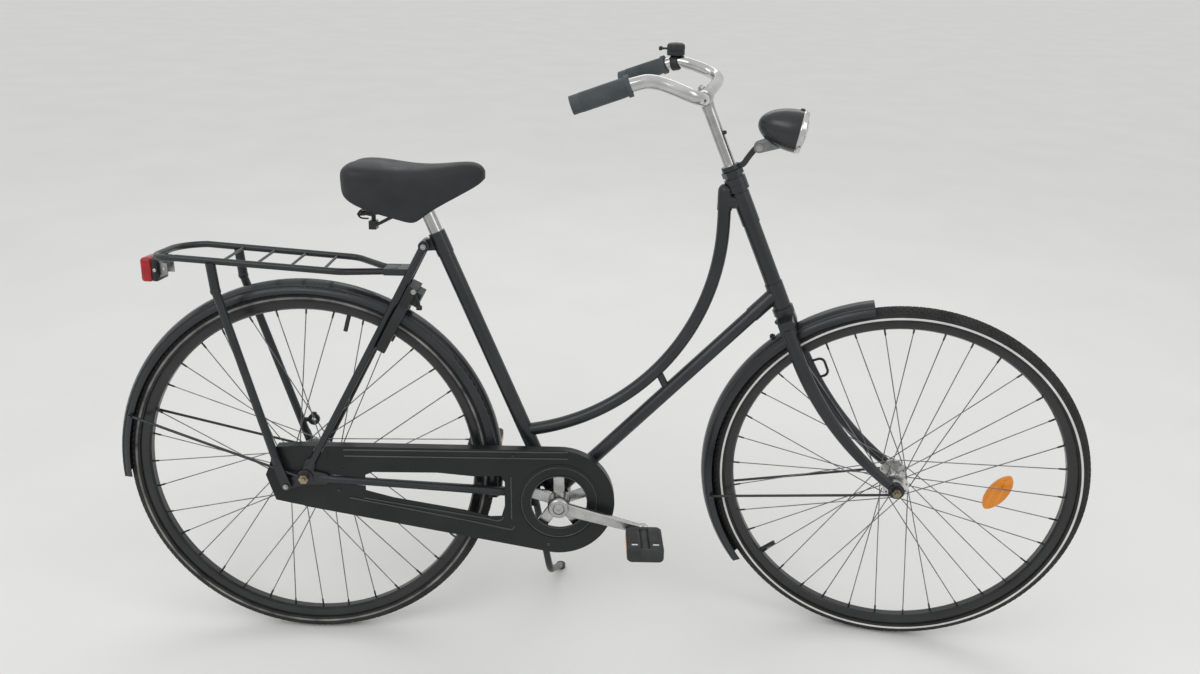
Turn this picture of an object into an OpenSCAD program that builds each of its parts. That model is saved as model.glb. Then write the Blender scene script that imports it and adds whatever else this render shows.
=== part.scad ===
// Step-through city bicycle with a coaster brake, parked on its left side stand.
// Millimetres, +X forward, +Y left, +Z up, floor at z = 0 and midway between the wheels at x = 0.
// Sub-parts are drawn upright with x = 0 at the rear axle, then steered and leaned into the parked pose.

/* [Stance] */
// distance between the two axles
wheelbase = 1114; // [1040:1:1180]
// lean to the left, onto the side stand
lean = 8.65; // [4:0.05:14]
// front wheel turned to the right
steer = 12.8; // [0:0.1:30]
// foot of the stand on the floor: ahead of the rear axle
foot_x = 471; // [420:1:520]
// foot of the stand on the floor: left of the wheel line
foot_y = 192; // [160:1:230]

/* [Wheels] */
// tyre outer diameter
tyre_d = 692; // [670:1:712]
// tyre section diameter
tyre_section = 36; // [32:1:44]
// rim inner radius
rim_in_r = 306; // [290:1:312]
// rim width
rim_w = 27; // [24:1:32]
// spokes in one wheel, a multiple of four
spokes = 36; // [28:4:40]
// spoke radius
spoke_r = 1.0; // [0.8:0.1:1.5]
// front hub flange radius
front_flange_r = 24; // [18:1:30]
// half distance between the front hub flanges
front_flange_y = 30; // [24:1:36]
// rear hub flange radius
rear_flange_r = 40; // [30:1:48]
// half distance between the rear hub flanges
rear_flange_y = 29; // [24:1:34]

/* [Frame] */
// head angle from the floor
head_angle = 66.2; // [62:0.1:72]
// fork rake
rake = 86; // [60:1:100]
// bottom bracket ahead of the rear axle
bb_x = 471; // [440:1:500]
// bottom bracket height
bb_z = 301; // [280:1:320]
// bottom bracket shell outer radius
bb_r = 21; // [18:0.5:24]
// bottom bracket shell length
bb_len = 70; // [66:1:80]
// head tube outer radius
head_r = 15; // [14:0.5:20]
// seat tube outer radius
seat_tube_r = 14; // [13:0.5:17]
// down tube outer radius
down_tube_r = 13; // [12:0.5:17]
// curved top tube outer radius
top_tube_r = 12; // [10:0.5:15]
// bend radius of the curved top tube
top_bend_r = 404; // [350:1:450]
// chain stay radius
chain_stay_r = 9.5; // [8:0.5:12]
// seat stay radius
seat_stay_r = 7.5; // [6:0.5:9]
// inner face of the rear dropouts from the middle
rear_drop_y = 61; // [55:0.5:64]

/* [Drive] */
// chain ring pitch radius
ring_pitch_r = 85; // [70:0.5:95]
// rear sprocket pitch radius
cog_pitch_r = 38.5; // [30:0.5:45]
// chain line, right of the middle
chain_y = 44; // [40:0.5:48]
// crank length
crank_len = 163; // [150:1:175]
// right crank below the level, pointing forward
crank_drop = 15; // [-30:1:60]
// inner face of the crank arms from the middle
crank_in_y = 74; // [68:0.5:80]
// chain guard nose radius
guard_r = 104; // [95:1:115]
// chain guard tail radius
guard_tail_r = 60; // [50:1:70]

/* [Cockpit] */
// stem clamp height along the steering axis
stem_t = 812; // [740:1:860]
// handlebar tube radius
bar_r = 11; // [10:0.1:13]
// half distance between the grip ends
grip_half = 222; // [180:1:300]
// grip radius
grip_r = 15; // [13:0.5:18]

/* [Carrier and saddle] */
// half width of the carrier
rack_half = 70; // [60:1:80]
// carrier tube radius
rack_r = 6; // [4:0.5:8]
// mudguard outer radius about the axle
guard_out_r = 362; // [358:0.5:375]
// mudguard half width
guard_half = 25; // [22:0.5:32]

/* [Hidden] */
$fn = 48;
// running clearance of shafts in their bores
run = 0.08;
// gap between seated faces
seat_gap = 0.2;

axle_z = tyre_d / 2;
tyre_r = tyre_section / 2;
ring_r = axle_z - tyre_r;
rear_axle = [0, 0, axle_z];
front_axle = [wheelbase, 0, axle_z];

// steering axis: foot of the perpendicular from the front axle and the two directions in its plane
steer_up = [-cos(head_angle), 0, sin(head_angle)];
steer_fwd = [sin(head_angle), 0, cos(head_angle)];
steer_foot = front_axle - rake * steer_fwd;

function on_axis(t, p = 0, y = 0) = steer_foot + t * steer_up + p * steer_fwd + [0, y, 0];
function unit(v) = v / norm(v);
function turn_x(p, a) = [p[0], p[1] * cos(a) - p[2] * sin(a), p[1] * sin(a) + p[2] * cos(a)];
function turn_y(p, a) = [p[0] * cos(a) + p[2] * sin(a), p[1], p[2] * cos(a) - p[0] * sin(a)];
function turn_about(p, k, a) =
    p * cos(a) + cross(k, p) * sin(a) + k * (k * p) * (1 - cos(a));

// lowest point of a leaned tyre from its centre and axle direction
function tyre_low(c, n) = c[2] - ring_r * sqrt(1 - n[2] * n[2]) - tyre_r;
steered_hub = steer_foot + turn_about(front_axle - steer_foot, steer_up, -steer);
steered_axle = turn_about([0, 1, 0], steer_up, -steer);
rear_low = tyre_low(turn_x(rear_axle, -lean), turn_x([0, 1, 0], -lean));
front_low = tyre_low(turn_x(steered_hub, -lean), turn_x(steered_axle, -lean));
pitch = atan((front_low - rear_low) / wheelbase);
park_shift = [-wheelbase / 2, 0, -rear_low];
function to_floor(p) = turn_y(turn_x(p, -lean), pitch) + park_shift;
function from_floor(p) = turn_x(turn_y(p - park_shift, -pitch), lean);

module parked()
    translate(park_shift) rotate([0, pitch, 0]) rotate([-lean, 0, 0]) children();

module steered()
    translate(steer_foot) rotate([0, head_angle - 90, 0]) rotate([0, 0, -steer])
        rotate([0, 90 - head_angle, 0]) translate(-steer_foot) children();

// straight round bar from a to b
module rod(a, b, r) {
    v = b - a;
    translate(a) rotate([0, acos(v[2] / norm(v)), atan2(v[1], v[0])]) cylinder(r = r, h = norm(v));
}

// tapered round bar from a to b
module taper(a, b, r1, r2) {
    v = b - a;
    translate(a) rotate([0, acos(v[2] / norm(v)), atan2(v[1], v[0])])
        cylinder(r1 = r1, r2 = r2, h = norm(v));
}

// children drawn along +Z, set on a point and a direction
module aim(p, d) translate(p) rotate([0, acos(d[2] / norm(d)), atan2(d[1], d[0])]) children();

// cylinder across the bicycle from y0 to y1
module across(x, z, y0, y1, r) translate([x, y1, z]) rotate([90, 0, 0]) cylinder(r = r, h = y1 - y0);

// plate in the X-Z plane from y0 to y1
module plate(y0, y1) translate([0, y1, 0]) rotate([90, 0, 0]) linear_extrude(y1 - y0) children();

// round bar through the points p, each corner bent on radius rb; bends run a little past their ends
lap = 0.8;
skin = 0.08;
module bent(p, rb, r) {
    over = lap / rb * 180 / PI;
    n = len(p);
    u = [for (i = [0 : n - 2]) unit(p[i + 1] - p[i])];
    th = [for (i = [1 : n - 2]) acos(u[i - 1] * u[i])];
    cut = concat([0], [for (a = th) rb * tan(a / 2)], [0]);
    for (i = [0 : n - 2])
        rod(p[i] + cut[i] * u[i], p[i + 1] - cut[i + 1] * u[i], r);
    for (i = [1 : n - 2]) {
        inward = unit(u[i] - (u[i - 1] * u[i]) * u[i - 1]);
        ax = cross(-inward, u[i - 1]);
        c = p[i] - cut[i] * u[i - 1] + rb * inward;
        multmatrix([[-inward[0], u[i - 1][0], ax[0], c[0]], [-inward[1], u[i - 1][1], ax[1], c[1]],
            [-inward[2], u[i - 1][2], ax[2], c[2]], [0, 0, 0, 1]])
            rotate([0, 0, -over]) rotate_extrude(angle = th[i - 1] + 2 * over)
                translate([rb, 0]) circle(r = r + skin);
    }
}

// flat outline round two circles and their outer tangents
module belt(c1, r1, c2, r2) {
    d = c2 - c1;
    base = atan2(d[1], d[0]);
    spread = acos((r1 - r2) / norm(d));
    n1 = [cos(base + spread), sin(base + spread)];
    n2 = [cos(base - spread), sin(base - spread)];
    translate(c1) circle(r = r1);
    translate(c2) circle(r = r2);
    polygon([c1 + r1 * n1, c1 + r1 * n2, c2 + r2 * n2, c2 + r2 * n1]);
}

bb_flat = [bb_x, bb_z];
axle_flat = [0, axle_z];

// tube lines of the frame
seat_dir = unit([-0.396, 0, 0.918]);
seat_low = [bb_x - 14, 0, bb_z];
seat_tube_len = 542;
seat_top = seat_low + seat_tube_len * seat_dir;
head_low_t = 384;
head_top_t = 640;
down_low = [bb_x + 5, 0, bb_z + 9];
down_high = on_axis(426);
top_x = 758;
top_bend_z = 824;
top_tube_z = 884;
top_sweep = 82;
top_c = [top_x - top_bend_r, 0, top_bend_z];

module in_steer(t, p = 0) translate(on_axis(t, p)) rotate([0, head_angle - 90, 0]) children();

module head_bar(r, t0, t1) in_steer(t0) cylinder(r = r, h = t1 - t0);
module seat_bar(r, s0, s1) rod(seat_low + s0 * seat_dir, seat_low + s1 * seat_dir, r);
module bb_bar(r) across(bb_x, bb_z, -bb_len / 2, bb_len / 2, r);
module down_bar(r) rod(down_low, down_high, r);

steerer_r = 13;
headset_r = 19.5;

lug_skin = 1.4;
cup_h = 12;
module head_tube() color("#17181a") difference() {
    union() {
        head_bar(head_r, head_low_t, head_top_t);
        head_bar(headset_r, head_low_t, head_low_t + cup_h);
        head_bar(head_r + lug_skin, head_low_t + cup_h - 1, head_low_t + 62);
        head_bar(head_r + lug_skin, head_top_t - 76, head_top_t - 16);
        head_bar(headset_r, head_top_t - cup_h, head_top_t);
    }
    head_bar(steerer_r + run, head_low_t - 1, head_top_t + 1);
}

// room that the frame tubes leave round the head tube and its cups
module head_room() {
    head_bar(head_r + lug_skin + seat_gap, head_low_t - 60, head_top_t + 60);
    head_bar(headset_r + seat_gap, head_low_t - 60, head_low_t + cup_h + seat_gap);
    head_bar(headset_r + 1, head_top_t - cup_h - seat_gap, head_top_t + 60);
}

module top_curve(r)
    translate(top_c) rotate([90, 0, 0]) rotate([0, 0, -top_sweep])
        rotate_extrude(angle = top_sweep, $fn = 96) translate([top_bend_r, 0]) circle(r = r, $fn = 48);

lug_t = 606;
module top_tube() color("#17181a") difference() {
    union() {
        top_curve(top_tube_r);
        translate([top_x, 0, top_bend_z - lap])
            cylinder(r = top_tube_r - skin, h = top_tube_z - top_bend_z + lap);
        translate([top_x, 0, top_tube_z]) sphere(r = top_tube_r + lug_skin);
        translate([top_x, 0, top_tube_z - 34]) cylinder(r = top_tube_r + lug_skin, h = 34);
        rod([top_x, 0, top_tube_z - 18], on_axis(lug_t), top_tube_r + lug_skin);
    }
    head_room();
    seat_bar(seat_tube_r + seat_gap, 0, seat_tube_len);
}

module down_tube() color("#17181a") difference() {
    union() {
        down_bar(down_tube_r);
        rod(down_high - 62 * unit(down_high - down_low), down_high, down_tube_r + lug_skin);
    }
    head_room();
    across(bb_x, bb_z, -bb_len, bb_len, bb_r + seat_gap);
}

// short strut between the curved tube and the down tube
strut_up = [648, 0, 552];
strut_down = [672, 0, 506];
module tube_bridge() color("#17181a") difference() {
    rod(strut_up, strut_down, 7);
    top_curve(top_tube_r + seat_gap);
    down_bar(down_tube_r + seat_gap);
}

// bolted ears of the seat stays behind the top of the seat tube
stay_bolt = [222, 775];
stay_bolt_r = 3.5;
ear_half = 8;
post_r = 12.3;
post_len = 60;
post_in = 60;
module seat_tube() color("#17181a") difference() {
    union() {
        seat_bar(seat_tube_r, 0, seat_tube_len);
        seat_bar(seat_tube_r + lug_skin, seat_tube_len - 42, seat_tube_len);
        plate(-ear_half, ear_half) belt(stay_bolt, 10, [stay_bolt[0] + 26, stay_bolt[1] + 4], 12);
    }
    across(bb_x, bb_z, -bb_len, bb_len, bb_r + seat_gap);
    down_bar(down_tube_r + seat_gap);
    seat_bar(post_r + seat_gap, seat_tube_len - post_in, seat_tube_len + 30);
    across(stay_bolt[0], stay_bolt[1], -40, 40, stay_bolt_r + seat_gap);
}

spindle_r = 8;
module bottom_bracket() color("#17181a") difference() {
    bb_bar(bb_r);
    across(bb_x, bb_z, -bb_len, bb_len, spindle_r + run);
}

// rear triangle
drop_t = 4;
drop_out_y = rear_drop_y + drop_t;
stay_y = rear_drop_y + drop_t / 2;
stay_low_y = 25;
rear_axle_r = 4.75;
chain_stay_end = [24, stay_y, axle_z - 2];
chain_stay_start = [bb_x - 8, stay_low_y, bb_z];
module chain_stay_bar(r) taper(chain_stay_start, chain_stay_end, r, r - 2.5);

stay_bridge_x = 386;
eye_right = [-33, axle_z - 15];
eye_left = [-19, axle_z - 15];
module dropout(eye) plate(rear_drop_y, drop_out_y) {
    belt(axle_flat, 15, [34, axle_z - 3], 11);
    belt([3, axle_z + 4], 11, [11, axle_z + 28], 9);
    belt([-3, axle_z - 3], 12, eye, 9.5);
}

module chain_stays() color("#17181a") difference() {
    union() {
        for (s = [0, 1]) mirror([0, s, 0]) {
            chain_stay_bar(chain_stay_r);
            dropout(s == 1 ? eye_right : eye_left);
        }
        across(stay_bridge_x, bb_z + 8, -stay_low_y - 4, stay_low_y + 4, 6);
    }
    across(bb_x, bb_z, -bb_len, bb_len, bb_r + seat_gap);
    across(0, axle_z, -100, 100, rear_axle_r + run);
}

seat_stay_top = [stay_bolt[0], 16.5, stay_bolt[1]];
seat_stay_end = [9, stay_y, axle_z + 20];
module seat_stay_bar(r) taper(seat_stay_end, seat_stay_top, r - 1, r);
module seat_stays() color("#17181a") difference() {
    union() {
        for (s = [0, 1]) mirror([0, s, 0]) {
            seat_stay_bar(seat_stay_r);
            across(stay_bolt[0], stay_bolt[1], ear_half + seat_gap, 21, 10);
        }
        across(stay_bolt[0], stay_bolt[1], -25, 25, stay_bolt_r);
    }
    plate(-ear_half - seat_gap, ear_half + seat_gap) difference() {
        translate(stay_bolt) circle(r = 30);
        translate(stay_bolt) circle(r = stay_bolt_r);
    }
    seat_bar(seat_tube_r + lug_skin + seat_gap, seat_tube_len - 120, seat_tube_len);
    for (s = [0, 1]) mirror([0, s, 0])
        plate(rear_drop_y - seat_gap, drop_out_y + seat_gap)
            belt([3, axle_z + 4], 11 + seat_gap, [11, axle_z + 28], 9 + seat_gap);
}

module seat_post() color("#c9cccf")
    seat_bar(post_r, seat_tube_len - post_in + seat_gap, seat_tube_len + post_len);

// section of a mudguard, ring radius along x and width along y
module mud_section() {
    wall = 1.6;
    c = guard_out_r - guard_half;
    difference() {
        union() {
            translate([c, 0]) circle(r = guard_half);
            for (s = [-1, 1]) translate([c + 16, s * 19]) circle(r = 2.2);
        }
        translate([c, 0]) circle(r = guard_half - wall);
        translate([c - 60, -60]) square([62, 120]);
    }
}

module mudguard(a0, a1)
    rotate([90, 0, 0]) rotate([0, 0, a0])
        rotate_extrude(angle = a1 - a0, $fn = 144) mud_section();

module rear_mudguard() color("#141516") difference() {
    translate(rear_axle) mudguard(-9, 184);
    across(stay_bridge_x, bb_z + 8, -40, 40, 6 + seat_gap);
    for (s = [0, 1]) mirror([0, s, 0]) {
        chain_stay_bar(chain_stay_r + 0.4);
        seat_stay_bar(seat_stay_r + 0.4);
    }
}

// the front mudguard sits a little behind the axle
front_guard_c = front_axle + [-8, 0, -2];
module front_mudguard() color("#141516") translate(front_guard_c) mudguard(101, 217);

// mudguard stays: wires from a tab under the axle nut to the edge of the mudguard
tab_t = 2.5;
wire_r = 2.5;
wire_out = 4;
module mud_stay(axle, hub, y_tab, start, ang) {
    tip = hub + [(guard_out_r - 20) * cos(ang), guard_half + 3.2, (guard_out_r - 20) * sin(ang)];
    rod(axle + [start[0], y_tab + wire_out, start[1]], tip, wire_r);
    across(tip[0], tip[2], guard_half + 0.3, guard_half + 6.2, 5);
    across(axle[0], axle[2], y_tab + seat_gap, y_tab + seat_gap + tab_t, 15);
}

module rear_mudguard_stays() color("#141516") difference() {
    union() for (s = [0, 1]) mirror([0, s, 0]) mud_stay(rear_axle, rear_axle, drop_out_y, [-11, 3], 163);
    across(0, axle_z, -100, 100, rear_axle_r + run);
}

fork_end_y = 46;
fork_out_y = fork_end_y + 5;
front_axle_r = 4.5;
module front_mudguard_stays() color("#141516") difference() {
    union() for (s = [0, 1]) mirror([0, s, 0]) mud_stay(front_axle, front_guard_c, fork_out_y, [-9, -7], 191);
    across(wheelbase, axle_z, -100, 100, front_axle_r + run);
}

// hexagon nut from y0 to y1
module nut(x, z, y0, y1, r) translate([x, y1, z]) rotate([90, 0, 0]) cylinder(r = r, h = y1 - y0, $fn = 6);

nut_h = 9.6;
module axle_set(x, r, y_face, nut_r, tail) {
    y0 = y_face + 2 * seat_gap + tab_t;
    across(x, axle_z, -y0 - nut_h - tail, y0 + nut_h + tail, r);
    for (s = [0, 1]) mirror([0, s, 0]) nut(x, axle_z, y0, y0 + nut_h, nut_r);
}
module rear_axle_set() color("#8d9094") axle_set(0, rear_axle_r, drop_out_y, 9, 5.5);
module front_axle_set() color("#a8956a") axle_set(wheelbase, front_axle_r, fork_out_y, 8.5, 6);

// wheels
module tyre() color("#1b1c1d") rotate([90, 0, 0]) rotate_extrude($fn = 144) difference() {
    translate([ring_r, 0]) circle(r = tyre_r, $fn = 32);
    translate([0, -50]) square([rim_in_r + 13.2, 100]);
    for (s = [0, 1]) mirror([0, s]) translate([0, rim_w / 2 - 3.4]) square([rim_in_r + 17.3, 50]);
}

// rim with a well, two lips and the valve
valve_len = 32;
module rim(valve_angle) color("#1d1e20") {
    rotate([90, 0, 0]) rotate_extrude($fn = 144)
        polygon([[rim_in_r, -rim_w / 2 + 7], [rim_in_r, rim_w / 2 - 7], [rim_in_r + 3, rim_w / 2 - 2],
            [rim_in_r + 8, rim_w / 2], [rim_in_r + 17, rim_w / 2], [rim_in_r + 17, rim_w / 2 - 2],
            [rim_in_r + 13, rim_w / 2 - 3], [rim_in_r + 13, 3 - rim_w / 2], [rim_in_r + 17, 2 - rim_w / 2],
            [rim_in_r + 17, -rim_w / 2], [rim_in_r + 8, -rim_w / 2], [rim_in_r + 3, 2 - rim_w / 2]]);
    rotate([0, -valve_angle, 0]) translate([rim_in_r - valve_len, 0, 0]) rotate([0, 90, 0])
        cylinder(r = 4, h = valve_len + 4);
}

// spokes of one wheel: from the flange edge to the rim, alternately leading and trailing
module spoke_set(flange_r, flange_y) color("#b5b8bb")
    for (k = [0 : spokes - 1]) {
        side = k % 2 == 0 ? -1 : 1;
        lead = floor(k / 2) % 2 == 0 ? 1 : -1;
        a = 360 / spokes * k;
        b = a + lead * 60;
        start = flange_r + seat_gap + spoke_r;
        stop = rim_in_r - seat_gap;
        rod([start * cos(b), side * (flange_y + lead * 1.6), start * sin(b)],
            [stop * cos(a), side * (4 + lead * 1.3), stop * sin(a)], spoke_r, $fn = 8);
    }

module front_hub_body() color("#b9bcc0") difference() {
    union() {
        across(0, 0, -38, 38, 12);
        for (s = [-1, 1]) across(0, 0, s * front_flange_y - 3, s * front_flange_y + 3, front_flange_r);
    }
    across(0, 0, -60, 60, front_axle_r + run);
}

module rear_hub_body() color("#9a9da1") difference() {
    union() {
        across(0, 0, -rear_flange_y, rear_flange_y, 31);
        for (s = [-1, 1]) across(0, 0, s * rear_flange_y - 3, s * rear_flange_y + 3, rear_flange_r);
        across(0, 0, -36, 40, 20);
    }
    across(0, 0, -60, 60, rear_axle_r + run);
}

module front_tyre() translate(front_axle) tyre();
module front_rim() translate(front_axle) rim(219);
module front_spokes() translate(front_axle) spoke_set(front_flange_r, front_flange_y);
module front_hub() translate(front_axle) front_hub_body();
module rear_tyre() translate(rear_axle) tyre();
module rear_rim() translate(rear_axle) rim(75);
module rear_spokes() translate(rear_axle) spoke_set(rear_flange_r, rear_flange_y);
module rear_hub() translate(rear_axle) rear_hub_body();

// leaf-shaped reflector held between the spokes
leaf_half = 39;
leaf_w = 16;
leaf_r = (leaf_half * leaf_half + leaf_w * leaf_w) / (2 * leaf_w);
leaf_clip = [197.5, 8.1];
module spoke_reflector() color("#f07a1c") translate(front_axle) {
    plate(-3, 3) translate([190, -7]) rotate(62) intersection() {
        translate([0, leaf_r - leaf_w]) circle(r = leaf_r);
        translate([0, leaf_w - leaf_r]) circle(r = leaf_r);
    }
    across(leaf_clip[0], leaf_clip[1], -13.8, -2, 3.5);
}

// steering group
crown_t = 353;
crown_h = 27;
blade_y = 38;
blade_bend_t = 310;
blade_turn = 2 * atan(rake / blade_bend_t);
blade_bend_r = blade_bend_t / sin(blade_turn);
blade_r = 10.5;
blade_low_y = fork_end_y + 1;
module fork() color("#17181a") difference() {
    union() {
        head_bar(steerer_r, crown_t + 4, head_top_t + 26);
        head_bar(headset_r - 2, crown_t + 8, head_low_t - 0.3);
        in_steer(crown_t) translate([-14, -blade_y - 8, 0]) cube([28, 2 * blade_y + 16, crown_h]);
        for (s = [-1, 1]) {
            rod(on_axis(crown_t + 9, 0, s * blade_y), on_axis(blade_bend_t - 3, 0, s * blade_low_y), blade_r);
            translate(on_axis(blade_bend_t, blade_bend_r, s * blade_low_y)) rotate([0, head_angle - 90, 0])
                rotate([90, 0, 0]) rotate([0, 0, 180])
                    rotate_extrude(angle = blade_turn) translate([blade_bend_r, 0]) circle(r = blade_r - 1.5);
            across(wheelbase, axle_z, s * (fork_end_y + 2.5) - 2.5, s * (fork_end_y + 2.5) + 2.5, 13);
        }
        bent([on_axis(262, 8, blade_y + 5), on_axis(262, 34, blade_y + 5), on_axis(226, 34, blade_y + 5),
            on_axis(226, 8, blade_y + 5)], 10, 2.5);
    }
    across(front_guard_c[0], front_guard_c[2], -guard_half - 1, guard_half + 1, guard_out_r + 0.3);
    across(wheelbase, axle_z, -100, 100, front_axle_r + run);
    for (s = [-1, 1]) {
        across(wheelbase, axle_z, s * (fork_end_y - 10) - 10, s * (fork_end_y - 10) + 10, 16);
        across(wheelbase, axle_z, s * (fork_out_y + 10) - 10, s * (fork_out_y + 10) + 10, 17);
    }
}

module headset() color("#17181a") difference() {
    union() {
        head_bar(headset_r, head_top_t + 0.3, head_top_t + 12);
        head_bar(headset_r - 3, head_top_t + 11, head_top_t + 17);
        in_steer(head_top_t + 16) cylinder(r = headset_r, h = 10, $fn = 6);
    }
    head_bar(steerer_r + seat_gap, head_top_t - 1, head_top_t + 40);
}

stem_low_t = head_top_t + 26.2;
stem_r = 10.4;
module stem() color("#d3d6d9") difference() {
    union() {
        head_bar(stem_r, stem_low_t, stem_t);
        translate(on_axis(stem_t)) rotate([90, 0, 0]) cylinder(r = bar_r + 3.5, h = 44, center = true);
    }
    translate(on_axis(stem_t)) rotate([90, 0, 0]) cylinder(r = bar_r + seat_gap, h = 80, center = true);
}

// handlebar points relative to the stem clamp, left side
bar_c = on_axis(stem_t);
bar_pts = [[0, 36, 0], [8, 122, 19], [-62, grip_half - 18, 33], [-92, grip_half - 13, 27],
    [-178, grip_half - 1, -4]];
function flip(p) = [p[0], -p[1], p[2]];
function both_sides(p) = concat([for (i = [len(p) - 1 : -1 : 0]) flip(p[i])], p);
module bar_path(r) bent(both_sides([for (q = bar_pts) bar_c + q]), 30, r);
module handlebar() color("#d3d6d9") bar_path(bar_r);

grip_dir = unit(bar_pts[4] - bar_pts[3]);
grip_from = bar_c + bar_pts[3] + 6 * grip_dir;
grip_to = bar_c + bar_pts[4] + 5 * grip_dir;
module grips() color("#1a1b1c") for (s = [0, 1]) mirror([0, s, 0]) difference() {
    union() {
        rod(grip_from, grip_to, grip_r);
        rod(grip_from - 6 * grip_dir, grip_from + grip_dir, grip_r + 2.5);
    }
    rod(grip_from - 40 * grip_dir, grip_to - (5 - seat_gap) * grip_dir, bar_r + 2 * skin + seat_gap);
}

bell_at = bar_c + 0.36 * bar_pts[2] + 0.64 * bar_pts[3];
bell_dir = unit(bar_pts[3] - bar_pts[2]);
module bell() color("#151617") difference() {
    union() {
        aim(bell_at - 8 * bell_dir, bell_dir) cylinder(r = bar_r + 3.5, h = 16);
        translate(bell_at + [0, 0, 10]) cylinder(r = 6, h = 11);
        translate(bell_at + [0, 0, 20]) cylinder(r = 19, h = 10);
        translate(bell_at + [0, 0, 29.5]) cylinder(r1 = 19, r2 = 10, h = 8);
        translate(bell_at + [-36, -3, 22]) cube([24, 6, 4]);
    }
    aim(bell_at - 30 * bell_dir, bell_dir) cylinder(r = bar_r + seat_gap, h = 60);
}

// headlamp: bullet shell, ring and lens
lamp_c = front_axle + [-237, 0, 647];
lamp_tilt = 11;
lamp_r = 36.5;
lamp_tail = 60;
lamp_bowl = 27;
module lamp_frame() translate(lamp_c) rotate([0, 90 + lamp_tilt, 0]) children();
module headlamp_shell() color("#131415") lamp_frame() difference() {
    union() {
        translate([0, 0, -8]) cylinder(r = lamp_r, h = 8);
        translate([0, 0, -8]) sphere(r = lamp_r - skin);
        translate([0, 0, -lamp_tail]) cylinder(r1 = 13, r2 = 28, h = 34);
        translate([0, 0, -lamp_tail]) sphere(r = 13.4);
    }
    cylinder(r = 2 * lamp_r, h = 2 * lamp_r);
    translate([0, 0, -4]) cylinder(r = lamp_r - 3, h = 10);
    translate([0, 0, -lamp_bowl]) cylinder(r1 = 9, r2 = lamp_r - 6, h = lamp_bowl - 3);
}

module headlamp_lens() color("#e6eaec") lamp_frame() {
    translate([0, 0, -3.8]) cylinder(r = lamp_r - 3.2, h = 12);
    translate([0, 0, 8]) cylinder(r1 = lamp_r - 5, r2 = lamp_r - 14, h = 6);
}

lamp_bolt = front_axle + [-302, 0, 618];
bracket_t = head_top_t + 31;
elbow = on_axis(bracket_t, 30);
module lamp_bracket() color("#26282a") {
    difference() {
        head_bar(headset_r - 3, head_top_t + 26.3, head_top_t + 35);
        head_bar(stem_r + seat_gap, head_top_t, head_top_t + 60);
    }
    rod(on_axis(bracket_t, 13), elbow, 4);
    translate(elbow) sphere(r = 4.4);
    rod(elbow, lamp_bolt + [2, 0, 3], 4);
    across(lamp_bolt[0], lamp_bolt[2], -7, 7, 9);
    difference() {
        rod(lamp_bolt + [2, 0, 0], lamp_bolt + [36, 0, 12], 5);
        lamp_frame() translate([0, 0, -8]) sphere(r = lamp_r + seat_gap);
    }
}

// chain guard: pressed sheet with a rolled rim, inside the stays at the back
guard_y = 57.4;
guard_t = 1.8;
guard_in_y = 38;
rim_t = 1.8;
guard_tail = [-6, axle_z];
split_x = 42;
hole_r = 52;
cut_out = [[110, 350], [124, 356], [244, 357], [311, 351], [362, 353], [369, 340], [369, 292], [363, 271],
    [342, 270], [295, 282], [162, 305], [110, 319]];
end_out = [[-6, 406], [-52, 403], [-74, 347], [-58, 297], [-28, 290.5], [-6, 286]];
end_in = [[-6, 404.2], [-50.8, 401.2], [-72, 347], [-56.6, 298.6], [-28, 292.3], [-6, 287.8]];
module guard_outline(d) belt(guard_tail, guard_tail_r - d, bb_flat, guard_r - d);
module behind_split(d) translate([-200, 0]) square([200 + split_x - d, 600]);

// room for the stays where they pass through the guard
module stay_room() mirror([0, 1, 0]) {
    seat_stay_bar(seat_stay_r + 1);
    chain_stay_bar(chain_stay_r + 0.5);
}

bead_h = 1.2;
module bead(x0, z0, x1, z1) polygon([[x0, z0 - 1.4], [x1, z1 - 1.4], [x1, z1 + 1.4], [x0, z0 + 1.4]]);
module guard_ring(r0, r1) difference() {
    translate(bb_flat) circle(r = r1);
    translate(bb_flat) circle(r = r0);
}
module chain_guard() color("#141516") difference() {
    union() {
        plate(-guard_y - guard_t, -guard_y) difference() {
            guard_outline(0);
            translate(bb_flat) circle(r = hole_r);
            polygon(cut_out);
            behind_split(0);
        }
        plate(-guard_y - 0.2, -guard_in_y) difference() {
            guard_outline(0);
            guard_outline(rim_t);
            behind_split(0);
        }
        plate(-guard_y - guard_t - bead_h, -guard_y - guard_t + 0.5) {
            guard_ring(hole_r + 22, hole_r + 25);
            guard_ring(hole_r, hole_r + 3);
            bead(71, 398, 440, 401);
            bead(74, 387, 430, 389);
            bead(112, 303, 322, 268);
            bead(142, 292, 297, 261.5);
        }
    }
    stay_room();
}

module chain_guard_rear() color("#141516") difference() {
    union() {
        plate(-guard_y - guard_t, -guard_y) {
            polygon(end_out);
            intersection() {
                guard_outline(0);
                behind_split(seat_gap);
                translate([-6 - skin, 0]) square([600, 600]);
            }
        }
        plate(-guard_y - 0.2, -guard_in_y) {
            difference() {
                polygon(end_out);
                polygon(end_in);
            }
            difference() {
                guard_outline(0);
                guard_outline(rim_t);
                translate([-300 - 6 - skin, 0]) square([300, 600]);
                translate([split_x - seat_gap, 0]) square([600, 600]);
            }
        }
    }
    across(0, axle_z, -100, 100, rear_axle_r + 1);
    stay_room();
}

chain_half = 4.2;
module chain() color("#3a3b3d") plate(-chain_y - 3, -chain_y + 3) difference() {
    belt(axle_flat, cog_pitch_r + chain_half, bb_flat, ring_pitch_r + chain_half);
    belt(axle_flat, cog_pitch_r - chain_half, bb_flat, ring_pitch_r - chain_half);
}

module sprocket() color("#55575a") difference() {
    across(0, axle_z, -chain_y - 1.4, -chain_y + 1.4, cog_pitch_r - chain_half - 0.3);
    across(0, axle_z, -60, 60, 16);
}

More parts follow.
